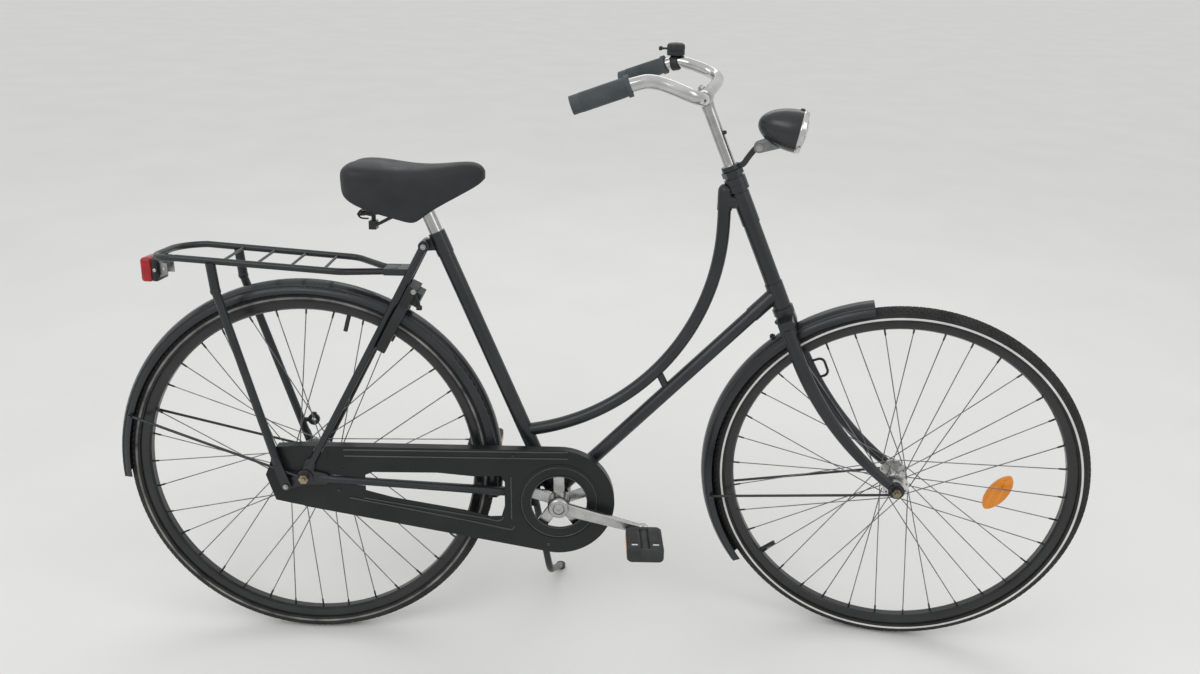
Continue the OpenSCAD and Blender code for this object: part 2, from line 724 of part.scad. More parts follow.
// coaster brake arm on the left, held to the chain stay
module brake_arm() color("#8d9094") difference() {
    union() {
        plate(46, 49) {
            belt(axle_flat, 17, [150, axle_z - 27], 9);
        }
        across(150, axle_z - 27, 46, 56, 7);
    }
    across(0, axle_z, 0, 100, rear_axle_r + run);
    chain_stay_bar(chain_stay_r + seat_gap);
}

// crank group
arm_t = 12;
spider_t = 3;
spider_turn = 20;
ring_half = 1.4;
spider_y = chain_y + ring_half + seat_gap;
pedal_at = [bb_x + crank_len * cos(crank_drop), -crank_in_y - arm_t, bb_z - crank_len * sin(crank_drop)];
module crank_spindle() color("#8d9094") across(bb_x, bb_z, -crank_in_y + 14, crank_in_y - 14, spindle_r);

module chainring() color("#b9bcc0") plate(-chain_y - ring_half, -chain_y + ring_half) difference() {
    translate(bb_flat) circle(r = ring_pitch_r - chain_half - 0.3, $fn = 96);
    translate(bb_flat) circle(r = 58);
}

module crank_arm(drop) {
    tip = bb_flat + crank_len * [cos(drop), -sin(drop)];
    plate(-crank_in_y - arm_t, -crank_in_y) belt(bb_flat, 15, tip, 11);
}

pedal_w = 92;
pedal_len = 66;
pedal_h = 26;
pedal_gap = 6;
pedal_in_y = crank_in_y + arm_t + pedal_gap;
pedal_pin_r = 6.5;
pin_end = pedal_in_y + pedal_w + 3;
module crank_right() color("#c4c7ca") difference() {
    union() {
        crank_arm(crank_drop);
        across(bb_x, bb_z, -crank_in_y - arm_t - 3, -spider_y, 21);
        plate(-spider_y - spider_t, -spider_y) for (i = [0 : 4])
            translate(bb_flat) rotate(i * 72 + spider_turn) translate([0, -8]) square([70, 16]);
        across(pedal_at[0], pedal_at[2], -pin_end, -crank_in_y - arm_t + 1, pedal_pin_r);
    }
    across(bb_x, bb_z, -crank_in_y + 13.8, 0, spindle_r + seat_gap);
}

module crank_left() color("#c4c7ca") difference() {
    union() {
        mirror([0, 1, 0]) crank_arm(crank_drop + 180);
        across(bb_x, bb_z, 46, crank_in_y + arm_t + 3, 19);
        across(2 * bb_x - pedal_at[0], 2 * bb_z - pedal_at[2], crank_in_y + arm_t - 1, pin_end, pedal_pin_r);
    }
    across(bb_x, bb_z, 0, crank_in_y - 13.8, spindle_r + seat_gap);
}

// block pedal round a pin across the bicycle, on the right
module pedal_body() difference() {
    union() {
        across(0, 0, -pin_end + 0.4, -pedal_in_y, 11);
        for (k = [-1, 1])
            translate([k * (pedal_len / 2 - 12.5) - 12.5, 5 - pedal_in_y - pedal_w, -pedal_h / 2])
                cube([25, pedal_w - 10, pedal_h]);
        for (y = [6, pedal_w])
            translate([2 - pedal_len / 2, -pedal_in_y - y, -8])
                cube([pedal_len - 4, 6, 16]);
    }
    across(0, 0, -pin_end - 1, -pedal_in_y + 1, pedal_pin_r + run);
}

module pedal_right() color("#18191a") translate([pedal_at[0], 0, pedal_at[2]]) pedal_body();
module pedal_left() color("#18191a")
    translate([2 * bb_x - pedal_at[0], 0, 2 * bb_z - pedal_at[2]]) mirror([0, 1, 0]) pedal_body();

// carrier
rack_z = 741.5;
rack_slope = -0.066;
rack_tail_x = -246;
function rack_top(x) = rack_z + rack_slope * x;
rack_pts = [[rack_tail_x, rack_half, 752], [-196, rack_half, rack_top(-196)],
    [84, rack_half - 2, rack_top(84)], [150, 17, 728], [174, 15, 729]];
rack_wires = [-124, -66, -8, 50];
module rack_loop() bent(both_sides(rack_pts), 44, rack_r);
module rack() color("#151617") difference() {
    union() {
        rack_loop();
        for (x = rack_wires)
            rod([x + 4, -rack_half, rack_top(x + 4)], [x - 4, rack_half, rack_top(x - 4)], 2.5);
        translate([150, -25, 722]) cube([46, 50, 12]);
    }
    for (s = [0, 1]) mirror([0, s, 0]) seat_stay_bar(seat_stay_r + seat_gap);
}

leg_y = drop_out_y + 5.5;
leg_foot_y = drop_out_y + wire_out + wire_r + 0.4;
leg_foot_t = 3;
knee = [-134, rack_half - 0.5, 697];
module rack_leg(eye, low_x) {
    low = [low_x, leg_y, axle_z + 28];
    rod([-139, rack_half, rack_top(-139) - 3], knee, 8.5);
    translate(knee) sphere(r = 9.2);
    rod(knee, low, 7.5);
    plate(leg_foot_y, leg_foot_y + leg_foot_t) belt(eye, 9, [low_x - 3, axle_z + 37], 7.5);
    across(eye[0], eye[1], drop_out_y + seat_gap, leg_foot_y + leg_foot_t + 2.5, 5);
}
module rack_legs() color("#151617") difference() {
    union() {
        rack_leg(eye_left, -31);
        mirror([0, 1, 0]) rack_leg(eye_right, -47);
    }
    for (s = [0, 1]) mirror([0, s, 0])
        rod([-400, rack_half, rack_top(-400)], [80, rack_half, rack_top(80)], rack_r + 0.8);
}

// rear lamp hung below the tail of the carrier
lamp_x = -269;
module rear_lamp() color("#232426") {
    translate([lamp_x + seat_gap, -23, 702]) cube([14, 46, 40]);
    translate([lamp_x + 10, -10, 737]) cube([22, 20, 8.7]);
}

module rear_lamp_lens() color("#b3141a") translate([lamp_x - 14, -22, 700]) cube([14, 44, 43]);

// horseshoe lock in front of the seat stays, straddling the wheel
lock_tilt = atan2(stay_bolt[1] - seat_stay_end[2], stay_bolt[0] - seat_stay_end[0]);
lock_at = [166.6, 0, 668.7];
lock_in = 32;
lock_out = 47;
lock_arm = 84;
lock_t = 18;
lock_off = seat_stay_r + seat_gap;
module ring_lock() color("#1a1b1d") translate(lock_at) rotate([0, -lock_tilt, 0]) {
    translate([0, 0, -lock_off - lock_t]) linear_extrude(lock_t) difference() {
        union() {
            translate([5 - lock_in, 0]) circle(r = lock_out);
            translate([-lock_arm, -lock_out]) square([lock_arm + 5 - lock_in, 2 * lock_out]);
            translate([5 - lock_in, -30]) square([lock_in + 40, 60]);
        }
        translate([5 - lock_in, 0]) circle(r = lock_in);
        translate([-lock_arm - 1, -lock_in]) square([lock_arm + 6 - lock_in, 2 * lock_in]);
    }
    translate([14, -24, -lock_off - lock_t - 12]) cube([26, 48, 12.5]);
}

// saddle: two rear lobes, a nose and side skirts, hollow below
module saddle() color("#1c1d1f") difference() {
    hull($fn = 32) {
        for (s = [-1, 1]) {
            translate([131, s * 60, 886]) sphere(r = 37);
            translate([192, s * 42, 885]) sphere(r = 35);
            translate([205, s * 32, 836]) sphere(r = 15);
        }
        translate([302, 0, 899]) sphere(r = 23.5);
    }
    translate([118, -26, 780]) cube([122, 52, 68]);
    seat_bar(post_r + 14, seat_tube_len, seat_tube_len + post_len + 4.3);
}

// clamp on the post, wire loop and bag clip under the saddle
saddle_wire_r = 2.6;
module saddle_springs() color("#1b1c1e") {
    difference() {
        seat_bar(post_r + 8, seat_tube_len + 40, seat_tube_len + post_len + 4);
        seat_bar(post_r + seat_gap, seat_tube_len, seat_tube_len + post_len + seat_gap);
    }
    for (s = [0, 1]) mirror([0, s, 0]) {
        rod([130, 8, 806], [172, 12, 828], saddle_wire_r);
        rod([172, 12, 827], [172, 12, 847.8], saddle_wire_r);
    }
    bent(both_sides([[106, 16, 829], [162, 16, 834], [162, 16, 847.8]]), 9, saddle_wire_r);
    rod([131, -16, 831.2], [131, 16, 831.2], saddle_wire_r);
    rod([131, 0, 808], [131, 0, 832], 4);
    translate([124, -11, 802]) cube([13, 22, 15]);
}

// side stand
foot_r = 10;
foot_h = 8;
leg_r = 7;
pivot_x = 412;
pivot_y = 38;
pivot_z = 273;
pivot = [pivot_x, pivot_y, pivot_z];
foot = from_floor([foot_x - wheelbase / 2, foot_y, foot_h / 2]);
floor_up = from_floor([0, 0, 1]) - from_floor([0, 0, 0]);
leg_dir = unit(foot - pivot);
fold_y = 0.3;
fold_z = 0.2;
fold_dir = unit([-1, fold_y, fold_z]);
pivot_axis = unit(cross(leg_dir, fold_dir));
leg_knee = [452, 52, 98];
knee_way = leg_knee - pivot;
leg_start = pivot + 26 * unit(knee_way - (knee_way * pivot_axis) * pivot_axis);
leg_bend_r = 36;
pin_r = 5;
hinge_r = 11;
hinge_half = 7;
module stand_plate() color("#1a1b1d") {
    difference() {
        union() {
            translate([392, -36, 282]) cube([40, 72, 14]);
            translate([398, 2, 264]) cube([28, 24, 22]);
        }
        for (s = [0, 1]) mirror([0, s, 0]) chain_stay_bar(chain_stay_r + seat_gap);
        rod(pivot - (hinge_half + 0.3) * pivot_axis, pivot + 40 * pivot_axis, 26);
    }
    rod(pivot - 22 * pivot_axis, pivot - (hinge_half + 0.3) * pivot_axis, hinge_r);
    rod(pivot - 12 * pivot_axis, pivot + 12 * pivot_axis, pin_r);
}

module stand_leg() color("#1a1b1d") difference() {
    union() {
        rod(pivot - hinge_half * pivot_axis, pivot + hinge_half * pivot_axis, hinge_r);
        bent([pivot, leg_start, leg_knee, foot], leg_bend_r, leg_r - 0.1);
        rod(foot - foot_h / 2 * floor_up, foot + foot_h / 2 * floor_up, foot_r);
    }
    rod(pivot - 20 * pivot_axis, pivot + 20 * pivot_axis, pin_r + run);
}

parked() head_tube();
parked() top_tube();
parked() down_tube();
parked() tube_bridge();
parked() seat_tube();
parked() bottom_bracket();
parked() chain_stays();
parked() seat_stays();
parked() seat_post();
parked() saddle();
parked() saddle_springs();
parked() rear_mudguard();
parked() rear_mudguard_stays();
parked() rear_axle_set();
parked() chain_guard();
parked() chain_guard_rear();
parked() chain();
parked() sprocket();
parked() brake_arm();
parked() rack();
parked() rack_legs();
parked() rear_lamp();
parked() rear_lamp_lens();
parked() ring_lock();
parked() stand_plate();
parked() stand_leg();
parked() crank_spindle();
parked() chainring();
parked() crank_right();
parked() crank_left();
parked() pedal_right();
parked() pedal_left();
parked() steered() fork();
parked() steered() headset();
parked() steered() stem();
parked() steered() handlebar();
parked() steered() grips();
parked() steered() bell();
parked() steered() headlamp_shell();
parked() steered() headlamp_lens();
parked() steered() lamp_bracket();
parked() steered() front_mudguard();
parked() steered() front_mudguard_stays();
parked() steered() front_axle_set();
parked() steered() front_tyre();
parked() steered() front_rim();
parked() steered() front_spokes();
parked() steered() front_hub();
parked() steered() spoke_reflector();
parked() rear_tyre();
parked() rear_rim();
parked() rear_spokes();
parked() rear_hub();
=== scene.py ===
import math

import bmesh
import bpy
from mathutils import Matrix, Vector


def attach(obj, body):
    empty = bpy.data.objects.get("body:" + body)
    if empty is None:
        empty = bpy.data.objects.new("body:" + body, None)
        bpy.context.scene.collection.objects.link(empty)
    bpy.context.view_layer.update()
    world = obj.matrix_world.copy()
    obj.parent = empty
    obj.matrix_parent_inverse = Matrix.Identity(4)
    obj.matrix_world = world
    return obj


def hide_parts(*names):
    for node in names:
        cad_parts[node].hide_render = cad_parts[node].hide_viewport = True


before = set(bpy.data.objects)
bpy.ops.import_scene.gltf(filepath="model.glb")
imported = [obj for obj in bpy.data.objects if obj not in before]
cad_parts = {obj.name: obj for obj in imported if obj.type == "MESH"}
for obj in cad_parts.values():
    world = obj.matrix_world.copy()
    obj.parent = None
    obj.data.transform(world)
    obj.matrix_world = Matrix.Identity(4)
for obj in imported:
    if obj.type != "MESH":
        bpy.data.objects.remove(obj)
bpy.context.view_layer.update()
scene = bpy.context.scene

# Stance of the parked bicycle in millimetres and degrees, upright with x = 0 at the rear axle
METRES = 0.001
WHEELBASE = 1114.0
AXLE_Z = 346.0
TYRE_R = 18.0
RING_R = AXLE_Z - TYRE_R
HEAD_ANGLE = 66.2
RAKE = 86.0
LEAN = 8.65
STEER = 12.8

# Both signs, for right and left, back and front, or down and up
BOTH = (-1, 1)


def turn(axis, degrees):
    return Matrix.Rotation(math.radians(degrees), 4, axis)


def shift(place):
    return Matrix.Translation(Vector(place))


def on_circle(radius, degrees):
    return radius * math.cos(math.radians(degrees)), radius * math.sin(math.radians(degrees))


REAR_AXLE = Vector((0, 0, AXLE_Z))
FRONT_AXLE = Vector((WHEELBASE, 0, AXLE_Z))
HEAD_COS, HEAD_SIN = on_circle(1.0, HEAD_ANGLE)
STEER_UP = Vector((-HEAD_COS, 0, HEAD_SIN))
STEER_FWD = Vector((HEAD_SIN, 0, HEAD_COS))
STEER_FOOT = FRONT_AXLE - RAKE * STEER_FWD
STEER_SEAT = shift(STEER_FOOT) @ turn("Y", HEAD_ANGLE - 90)
TO_STEERED = STEER_SEAT @ turn("Z", -STEER) @ turn("Y", 90 - HEAD_ANGLE) @ shift(-STEER_FOOT)


def tyre_low(hub, axle):
    """height of the lowest point of a tyre on a leaning axle"""
    return hub.z - RING_R * math.sqrt(1 - axle.z ** 2) - TYRE_R


def parked_frame():
    """upright millimetres to the parked bicycle in metres"""
    leaned = turn("X", -LEAN)
    steered = leaned @ TO_STEERED
    across = Vector((0, 1, 0))
    rear = tyre_low(leaned @ REAR_AXLE, leaned.to_3x3() @ across)
    front = tyre_low(steered @ FRONT_AXLE, steered.to_3x3() @ across)
    pitch = math.degrees(math.atan((front - rear) / WHEELBASE))
    return Matrix.Scale(METRES, 4) @ shift((-WHEELBASE / 2, 0, -rear)) @ turn("Y", pitch) @ leaned


PARKED = parked_frame()
STEERED = PARKED @ TO_STEERED


def seat_of(body):
    """upright millimetres to a body's place in the parked bicycle"""
    return STEERED if body in ("steering", "front_wheel") else PARKED


def on_axis(t, p=0.0, y=0.0):
    """a point along the steering axis, p ahead of it and y to the left"""
    return STEER_FOOT + t * STEER_UP + p * STEER_FWD + Vector((0, y, 0))


def wheel_point(axle, radius, y, degrees):
    x, z = on_circle(radius, degrees)
    return axle + Vector((x, y, z))


def across_seat(x, z, right=True):
    """seat on the bicycle's middle plane with Z pointing out to one side"""
    return shift((x, 0, z)) @ turn("X", 90 if right else -90)


# Camera at the photograph's place, in metres and degrees
CAMERA_PLACE = (-0.0494, -1.5124, 1.3216)
CAMERA_PAN, CAMERA_TILT, CAMERA_ROLL = -1.17, -24.13, -1.72
CAMERA_LENS, CAMERA_SENSOR = 28.428, 36.0


def set_camera():
    data = bpy.data.cameras.new("photo_camera")
    data.sensor_width = CAMERA_SENSOR
    data.lens = CAMERA_LENS
    data.clip_start = 0.05
    camera = bpy.data.objects.new("photo_camera", data)
    camera.matrix_world = (shift(CAMERA_PLACE) @ turn("Z", CAMERA_PAN) @ turn("X", CAMERA_TILT)
                           @ turn("Y", CAMERA_ROLL) @ turn("X", 90))
    scene.collection.objects.link(camera)
    scene.camera = camera


# Node trees: what finishes, repeated shapes and the world share
class Nodes:
    """a node tree being built"""

    def __init__(self, tree):
        self.tree = tree

    def feed(self, node, values):
        """sets a node's inputs to fixed values or other nodes' outputs, and gives the node's own outputs"""
        for label, value in values.items():
            if isinstance(value, bpy.types.NodeSocket):
                self.tree.links.new(value, node.inputs[label])
            else:
                node.inputs[label].default_value = value
        return node.outputs

    def add(self, kind, values=None):
        return self.feed(self.tree.nodes.new(kind), values or {})

    def ramp(self, fac, low, dark, high, light):
        """tones from dark at low to light at high"""
        node = self.tree.nodes.new("ShaderNodeValToRGB")
        for stop, place, tone in zip(node.color_ramp.elements, (low, high), (dark, light)):
            stop.position, stop.color = place, (*tone, 1)
        return self.feed(node, {"Fac": fac})["Color"]


class Finish(Nodes):
    """one material on the piece's own coordinates"""

    def __init__(self, name):
        self.material = bpy.data.materials.new(name)
        self.material.use_nodes = True
        super().__init__(self.material.node_tree)

    def levels(self, values):
        self.feed(self.tree.nodes["Principled BSDF"], values)

    def where(self):
        return self.add("ShaderNodeTexCoord")["Object"]

    def noise(self, scale, detail, stretch=(1.0, 1.0, 1.0)):
        spread = self.add("ShaderNodeMapping", {"Vector": self.where(), "Scale": stretch})["Vector"]
        return self.add("ShaderNodeTexNoise", {"Vector": spread, "Scale": scale, "Detail": detail})["Fac"]

    def prisms(self, scale):
        """an even grid of small facets"""
        node = self.tree.nodes.new("ShaderNodeTexVoronoi")
        node.distance = "CHEBYCHEV"
        return self.feed(node, {"Vector": self.where(), "Scale": scale, "Randomness": 0.0})["Distance"]

    def creases(self, scale):
        """uneven cells parted by fine lines"""
        node = self.tree.nodes.new("ShaderNodeTexVoronoi")
        node.feature = "DISTANCE_TO_EDGE"
        return self.feed(node, {"Vector": self.where(), "Scale": scale})["Distance"]

    def colour(self, fac, dark, light, low=0.3, high=0.7):
        self.levels({"Base Color": self.ramp(fac, low, dark, high, light)})

    def gloss(self, fac, low, high):
        """roughness from low to high"""
        reach = {"Value": fac, "From Min": 0.25, "From Max": 0.75, "To Min": low, "To Max": high}
        self.levels({"Roughness": self.add("ShaderNodeMapRange", reach)["Result"]})

    def relief(self, *layers):
        """bump layers, each a height, a strength and a depth in metres"""
        below = {}
        for height, strength, depth in layers:
            layer = {"Height": height, "Strength": strength, "Distance": depth, **below}
            below = {"Normal": self.add("ShaderNodeBump", layer)["Normal"]}
        self.levels(below)


def paint(name, dark, light, rough, peel=0.06, coat=0.25, specular=0.4):
    """enamel: tone drifts and dust, uneven gloss, a faint orange peel"""
    f = Finish(name)
    f.colour(f.noise(14, 6), dark, light)
    f.gloss(f.noise(55, 5), rough - 0.07, rough + 0.09)
    f.levels({"Specular IOR Level": specular, "Coat Weight": coat, "Coat Roughness": 0.22})
    f.relief((f.noise(420, 2), peel, 0.0006), (f.noise(38, 4), 0.05, 0.002))
    return f.material


def metal(name, tone, shade, rough, streak=(1, 1, 1), grain=0.05):
    """plated or bare metal: streaks of roughness, small marks"""
    f = Finish(name)
    f.colour(f.noise(30, 6), shade, tone, 0.32, 0.6)
    f.gloss(f.noise(90, 4, streak), rough - 0.05, rough + 0.08)
    f.levels({"Metallic": 1.0})
    f.relief((f.noise(300, 3, streak), grain, 0.0004))
    return f.material


def rubber(name, dark, light, rough, fine=900, bump=0.25):
    """dull rubber with a fine grain"""
    f = Finish(name)
    f.colour(f.noise(22, 6), dark, light)
    f.gloss(f.noise(70, 4), rough - 0.08, rough + 0.1)
    f.levels({"Specular IOR Level": 0.35})
    f.relief((f.noise(fine, 3), bump, 0.0006), (f.noise(60, 3), 0.1, 0.0015))
    return f.material


def vinyl(name, dark, light):
    """saddle cover: leather-like cells, soft gloss, tones rubbed unevenly"""
    f = Finish(name)
    f.colour(f.noise(16, 5), dark, light, 0.35, 0.75)
    f.gloss(f.noise(45, 4), 0.44, 0.58)
    f.levels({"Specular IOR Level": 0.42})
    f.relief((f.creases(520), 0.22, 0.0004), (f.noise(30, 3), 0.08, 0.002))
    return f.material


def lens(name, tone, deep, clear, prism, rough):
    """moulded lens with a prism relief"""
    f = Finish(name)
    f.colour(f.prisms(prism), deep, tone, 0.05, 0.5)
    f.gloss(f.noise(60, 3), rough, rough + 0.06)
    f.levels({"Transmission Weight": clear, "IOR": 1.49})
    f.relief((f.prisms(prism), 0.35, 0.0008))
    return f.material


def glass(name):
    """clear moulding with soft flutes"""
    f = Finish(name)
    f.colour(f.noise(18, 3), (0.9, 0.92, 0.93), (0.98, 0.99, 1.0))
    f.gloss(f.noise(80, 3), 0.02, 0.06)
    f.levels({"Transmission Weight": 0.92, "IOR": 1.49})
    f.relief((f.noise(160, 1, (1, 6, 0.3)), 0.12, 0.0008))
    return f.material


FRAME_PAINT = paint("frame_enamel", (0.0084, 0.0103, 0.0122), (0.0173, 0.0209, 0.0242), 0.33)
SHEET_PAINT = paint("sheet_enamel", (0.0087, 0.0106, 0.0125), (0.0178, 0.0214, 0.0248), 0.30)
GUARD_PAINT = paint("chain_case_enamel", (0.0065, 0.0072, 0.0078), (0.0125, 0.0138, 0.0146), 0.40,
                    0.08, 0.1, 0.3)
# Chain case enamel for the pressed ridges, painted about twice as light: a painted highlight along the beads
CASE_RIDGE_HIGHLIGHT_PAINT = paint("ridge_enamel", (0.014, 0.0152, 0.0162), (0.030, 0.032, 0.0335), 0.20, 0.02, 0.5, 0.6)
RACK_PAINT = paint("carrier_enamel", (0.0087, 0.0104, 0.0121), (0.0183, 0.0215, 0.0246), 0.38, 0.09)
BLACK_PLASTIC = paint("black_moulding", (0.011, 0.0120, 0.0128), (0.022, 0.0238, 0.0250), 0.46, 0.14, 0.0)
LAMP_BLACK = paint("lamp_shell_black", (0.013, 0.0147, 0.0162), (0.024, 0.0268, 0.0290), 0.26,
                   0.03, 0.3, 0.36)
RIM_BLACK = paint("black_rim", (0.0085, 0.0092, 0.0096), (0.0175, 0.0185, 0.0190), 0.30, 0.05, 0.2, 0.45)
CHROME = metal("bright_plating", (0.62, 0.62, 0.61), (0.47, 0.47, 0.46), 0.15, (1, 1, 4), 0.02)
STEM_PLATING = metal("stem_plating", (0.47, 0.47, 0.46), (0.33, 0.33, 0.325), 0.18, (1, 1, 4), 0.02)
ALLOY = metal("polished_alloy", (0.54, 0.54, 0.53), (0.38, 0.38, 0.375), 0.27, (5, 1, 1), 0.02)
HUB_ALLOY = metal("hub_alloy", (0.66, 0.66, 0.645), (0.42, 0.42, 0.41), 0.30, (1, 8, 1), 0.05)
SPOKE_STEEL = metal("spoke_steel", (0.24, 0.245, 0.25), (0.12, 0.122, 0.125), 0.40)
DARK_STEEL = metal("blackened_steel", (0.085, 0.086, 0.088), (0.035, 0.036, 0.037), 0.40)
BARE_STEEL = metal("plated_steel", (0.46, 0.46, 0.45), (0.26, 0.26, 0.25), 0.33, (1, 5, 1), 0.05)
BRASS_STEEL = metal("yellow_zinc", (0.42, 0.36, 0.25), (0.24, 0.20, 0.14), 0.38)
CHAIN_STEEL = metal("oiled_chain", (0.22, 0.21, 0.20), (0.08, 0.076, 0.072), 0.38)
TYRE_RUBBER = rubber("tyre_rubber", (0.012, 0.0124, 0.0124), (0.030, 0.0304, 0.0298), 0.72)
GRIP_RUBBER = rubber("grip_rubber", (0.050, 0.062, 0.066), (0.088, 0.106, 0.112), 0.62, 700, 0.3)
PEDAL_RUBBER = rubber("pedal_rubber", (0.020, 0.0205, 0.0210), (0.042, 0.043, 0.044), 0.60, 800, 0.3)
STRIPE = rubber("reflective_stripe", (0.56, 0.56, 0.53), (0.76, 0.76, 0.73), 0.45, 1200, 0.2)
WORN_STRIPE = rubber("worn_stripe", (0.035, 0.035, 0.034), (0.30, 0.30, 0.29), 0.6, 1200, 0.2)
SADDLE_VINYL = vinyl("saddle_vinyl", (0.013, 0.0145, 0.0165), (0.025, 0.0275, 0.0305))
AMBER = lens("amber_prisms", (0.90, 0.33, 0.03), (0.66, 0.18, 0.008), 0.1, 320, 0.2)
RED = lens("red_prisms", (0.50, 0.020, 0.024), (0.28, 0.006, 0.009), 0.2, 300, 0.16)
CLEAR = glass("clear_lens")

NODE_FINISHES = [
    (FRAME_PAINT, ("head_tube", "top_tube", "down_tube", "tube_bridge", "seat_tube", "bottom_bracket",
                   "chain_stays", "seat_stays", "fork", "headset")),
    (SHEET_PAINT, ("rear_mudguard", "front_mudguard", "rear_mudguard_stays", "front_mudguard_stays")),
    (GUARD_PAINT, ("chain_guard", "chain_guard_rear")),
    (RACK_PAINT, ("rack", "rack_legs", "saddle_springs", "stand_plate", "stand_leg", "lamp_bracket")),
    (BLACK_PLASTIC, ("rear_lamp", "ring_lock", "bell")),
    (LAMP_BLACK, ("headlamp_shell",)),
    (RIM_BLACK, ("front_rim", "rear_rim")),
    (CHROME, ("stem", "handlebar")),
    (STEM_PLATING, ("seat_post",)),
    (ALLOY, ("chainring", "crank_right", "crank_left")),
    (HUB_ALLOY, ("front_hub", "rear_hub")),
    (SPOKE_STEEL, ("front_spokes", "rear_spokes")),
    (BARE_STEEL, ("sprocket", "brake_arm", "crank_spindle")),
    (BRASS_STEEL, ("rear_axle_set", "front_axle_set")),
    (CHAIN_STEEL, ("chain",)),
    (TYRE_RUBBER, ("front_tyre", "rear_tyre")),
    (GRIP_RUBBER, ("grips",)),
    (PEDAL_RUBBER, ("pedal_right", "pedal_left")),
    (SADDLE_VINYL, ("saddle",)),
    (AMBER, ("spoke_reflector",)),
    (RED, ("rear_lamp_lens",)),
    (CLEAR, ("headlamp_lens",)),
]


def dress_nodes():
    for finish, nodes in NODE_FINISHES:
        for node in nodes:
            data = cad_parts[node].data
            data.materials.clear()
            data.materials.append(finish)


# Mesh helpers, drawn upright in millimetres
def face(bm, corners):
    """a face over its corners, each taken once"""
    corners = list(dict.fromkeys(corners))
    if len(corners) > 2:
        bm.faces.new(corners)


def lathe(bm, outline, seat, steps, ring=False):
    """outline of (radius, height) turned about the seat's Z, from axis to axis or as a closed ring"""
    rows = []
    for radius, height in outline:
        if radius < 1e-6:
            rows.append([bm.verts.new(seat @ Vector((0, 0, height)))])
        else:
            rows.append([bm.verts.new(seat @ Vector((*on_circle(radius, 360 * k / steps), height)))
                         for k in range(steps)])
    pairs = list(zip(rows, rows[1:]))
    if ring:
        pairs.append((rows[-1], rows[0]))
    for low, high in pairs:
        for k in range(steps):
            n = (k + 1) % steps
            face(bm, [low[k % len(low)], low[n % len(low)], high[n % len(high)], high[k % len(high)]])


def walls(bm, rings):
    """faces between rings of points"""
    for low, high in zip(rings, rings[1:]):
        for k in range(len(low)):
            n = (k + 1) % len(low)
            bm.faces.new((low[k], low[n], high[n], high[k]))


def skin(bm, rings):
    """faces between rings of points and over both ends"""
    walls(bm, rings)
    bm.faces.new(rings[0])
    bm.faces.new(rings[-1])


def heading(points, i):
    """direction of a line of points at one of them"""
    return (points[min(i + 1, len(points) - 1)] - points[max(i - 1, 0)]).normalized()


def tube(bm, points, radius, sides):
    """round bar along points, closed at its ends"""
    rings, side = [], None
    for i, point in enumerate(points):
        way = heading(points, i)
        side = way.orthogonal().normalized() if side is None else (side - way * side.dot(way)).normalized()
        other = way.cross(side)
        ring = [on_circle(radius, 360 * k / sides) for k in range(sides)]
        rings.append([bm.verts.new(point + c * side + s * other) for c, s in ring])
    skin(bm, rings)


def round_edges(bm, edges, size, segments):
    bmesh.ops.bevel(bm, geom=edges, offset=size, segments=segments, profile=0.5, affect="EDGES")


def block(bm, low, high, edge, seat=Matrix(), segments=2):
    """box with rounded edges"""
    made = bmesh.ops.create_cube(bm, size=1.0)["verts"]
    middle = (Vector(low) + Vector(high)) / 2
    size = Vector(high) - Vector(low)
    for v in made:
        v.co = seat @ (middle + Vector(a * b for a, b in zip(v.co, size)))
    round_edges(bm, list(dict.fromkeys(e for v in made for e in v.link_edges)), edge, segments)


def slab(bm, outline, y0, y1, edge, segments=2):
    """flat outline in the X-Z plane with a thickness across the bicycle and rounded rims"""
    low = [bm.verts.new((x, y0, z)) for x, z in outline]
    high = [bm.verts.new((x, y1, z)) for x, z in outline]
    caps = [bm.faces.new(low), bm.faces.new(list(reversed(high)))]
    for k in range(len(outline)):
        n = (k + 1) % len(outline)
        bm.faces.new((low[n], low[k], high[k], high[n]))
    made = list(dict.fromkeys(f for v in low + high for f in v.link_faces))
    bmesh.ops.recalc_face_normals(bm, faces=made)
    round_edges(bm, list(dict.fromkeys(e for cap in caps for e in cap.edges)), edge, segments)


def belt(c1, r1, c2, r2, steps=14):
    """outline round two circles"""
    dx, dz = c2[0] - c1[0], c2[1] - c1[1]
    base = math.degrees(math.atan2(dz, dx))
    spread = math.degrees(math.acos((r1 - r2) / math.hypot(dx, dz)))
    points = []
    for k in range(steps + 1):
        c, s = on_circle(r1, base + spread + (360 - 2 * spread) * k / steps)
        points.append((c1[0] + c, c1[1] + s))
    for k in range(steps + 1):
        c, s = on_circle(r2, base - spread + 2 * spread * k / steps)
        points.append((c2[0] + c, c2[1] + s))
    return points


def ribbon(points, half):
    """outline of a strip along points in the X-Z plane"""
    left, right = [], []
    for i, (x, z) in enumerate(points):
        (x0, z0), (x1, z1) = points[max(i - 1, 0)], points[min(i + 1, len(points) - 1)]
        size = math.hypot(x1 - x0, z1 - z0)
        across, up = -half * (z1 - z0) / size, half * (x1 - x0) / size
        left.append((x + across, z + up))
        right.append((x - across, z - up))
    return left + right[::-1]


def rounded(x, z, half_x, half_z, corner):
    """outline of a rectangle with round corners"""
    points, steps = [], 6
    for k, (sx, sz) in enumerate(((1, 1), (-1, 1), (-1, -1), (1, -1))):
        for i in range(steps + 1):
            c, s = on_circle(corner, 90 * k + 90 * i / steps)
            points.append((x + sx * (half_x - corner) + c, z + sz * (half_z - corner) + s))
    return points


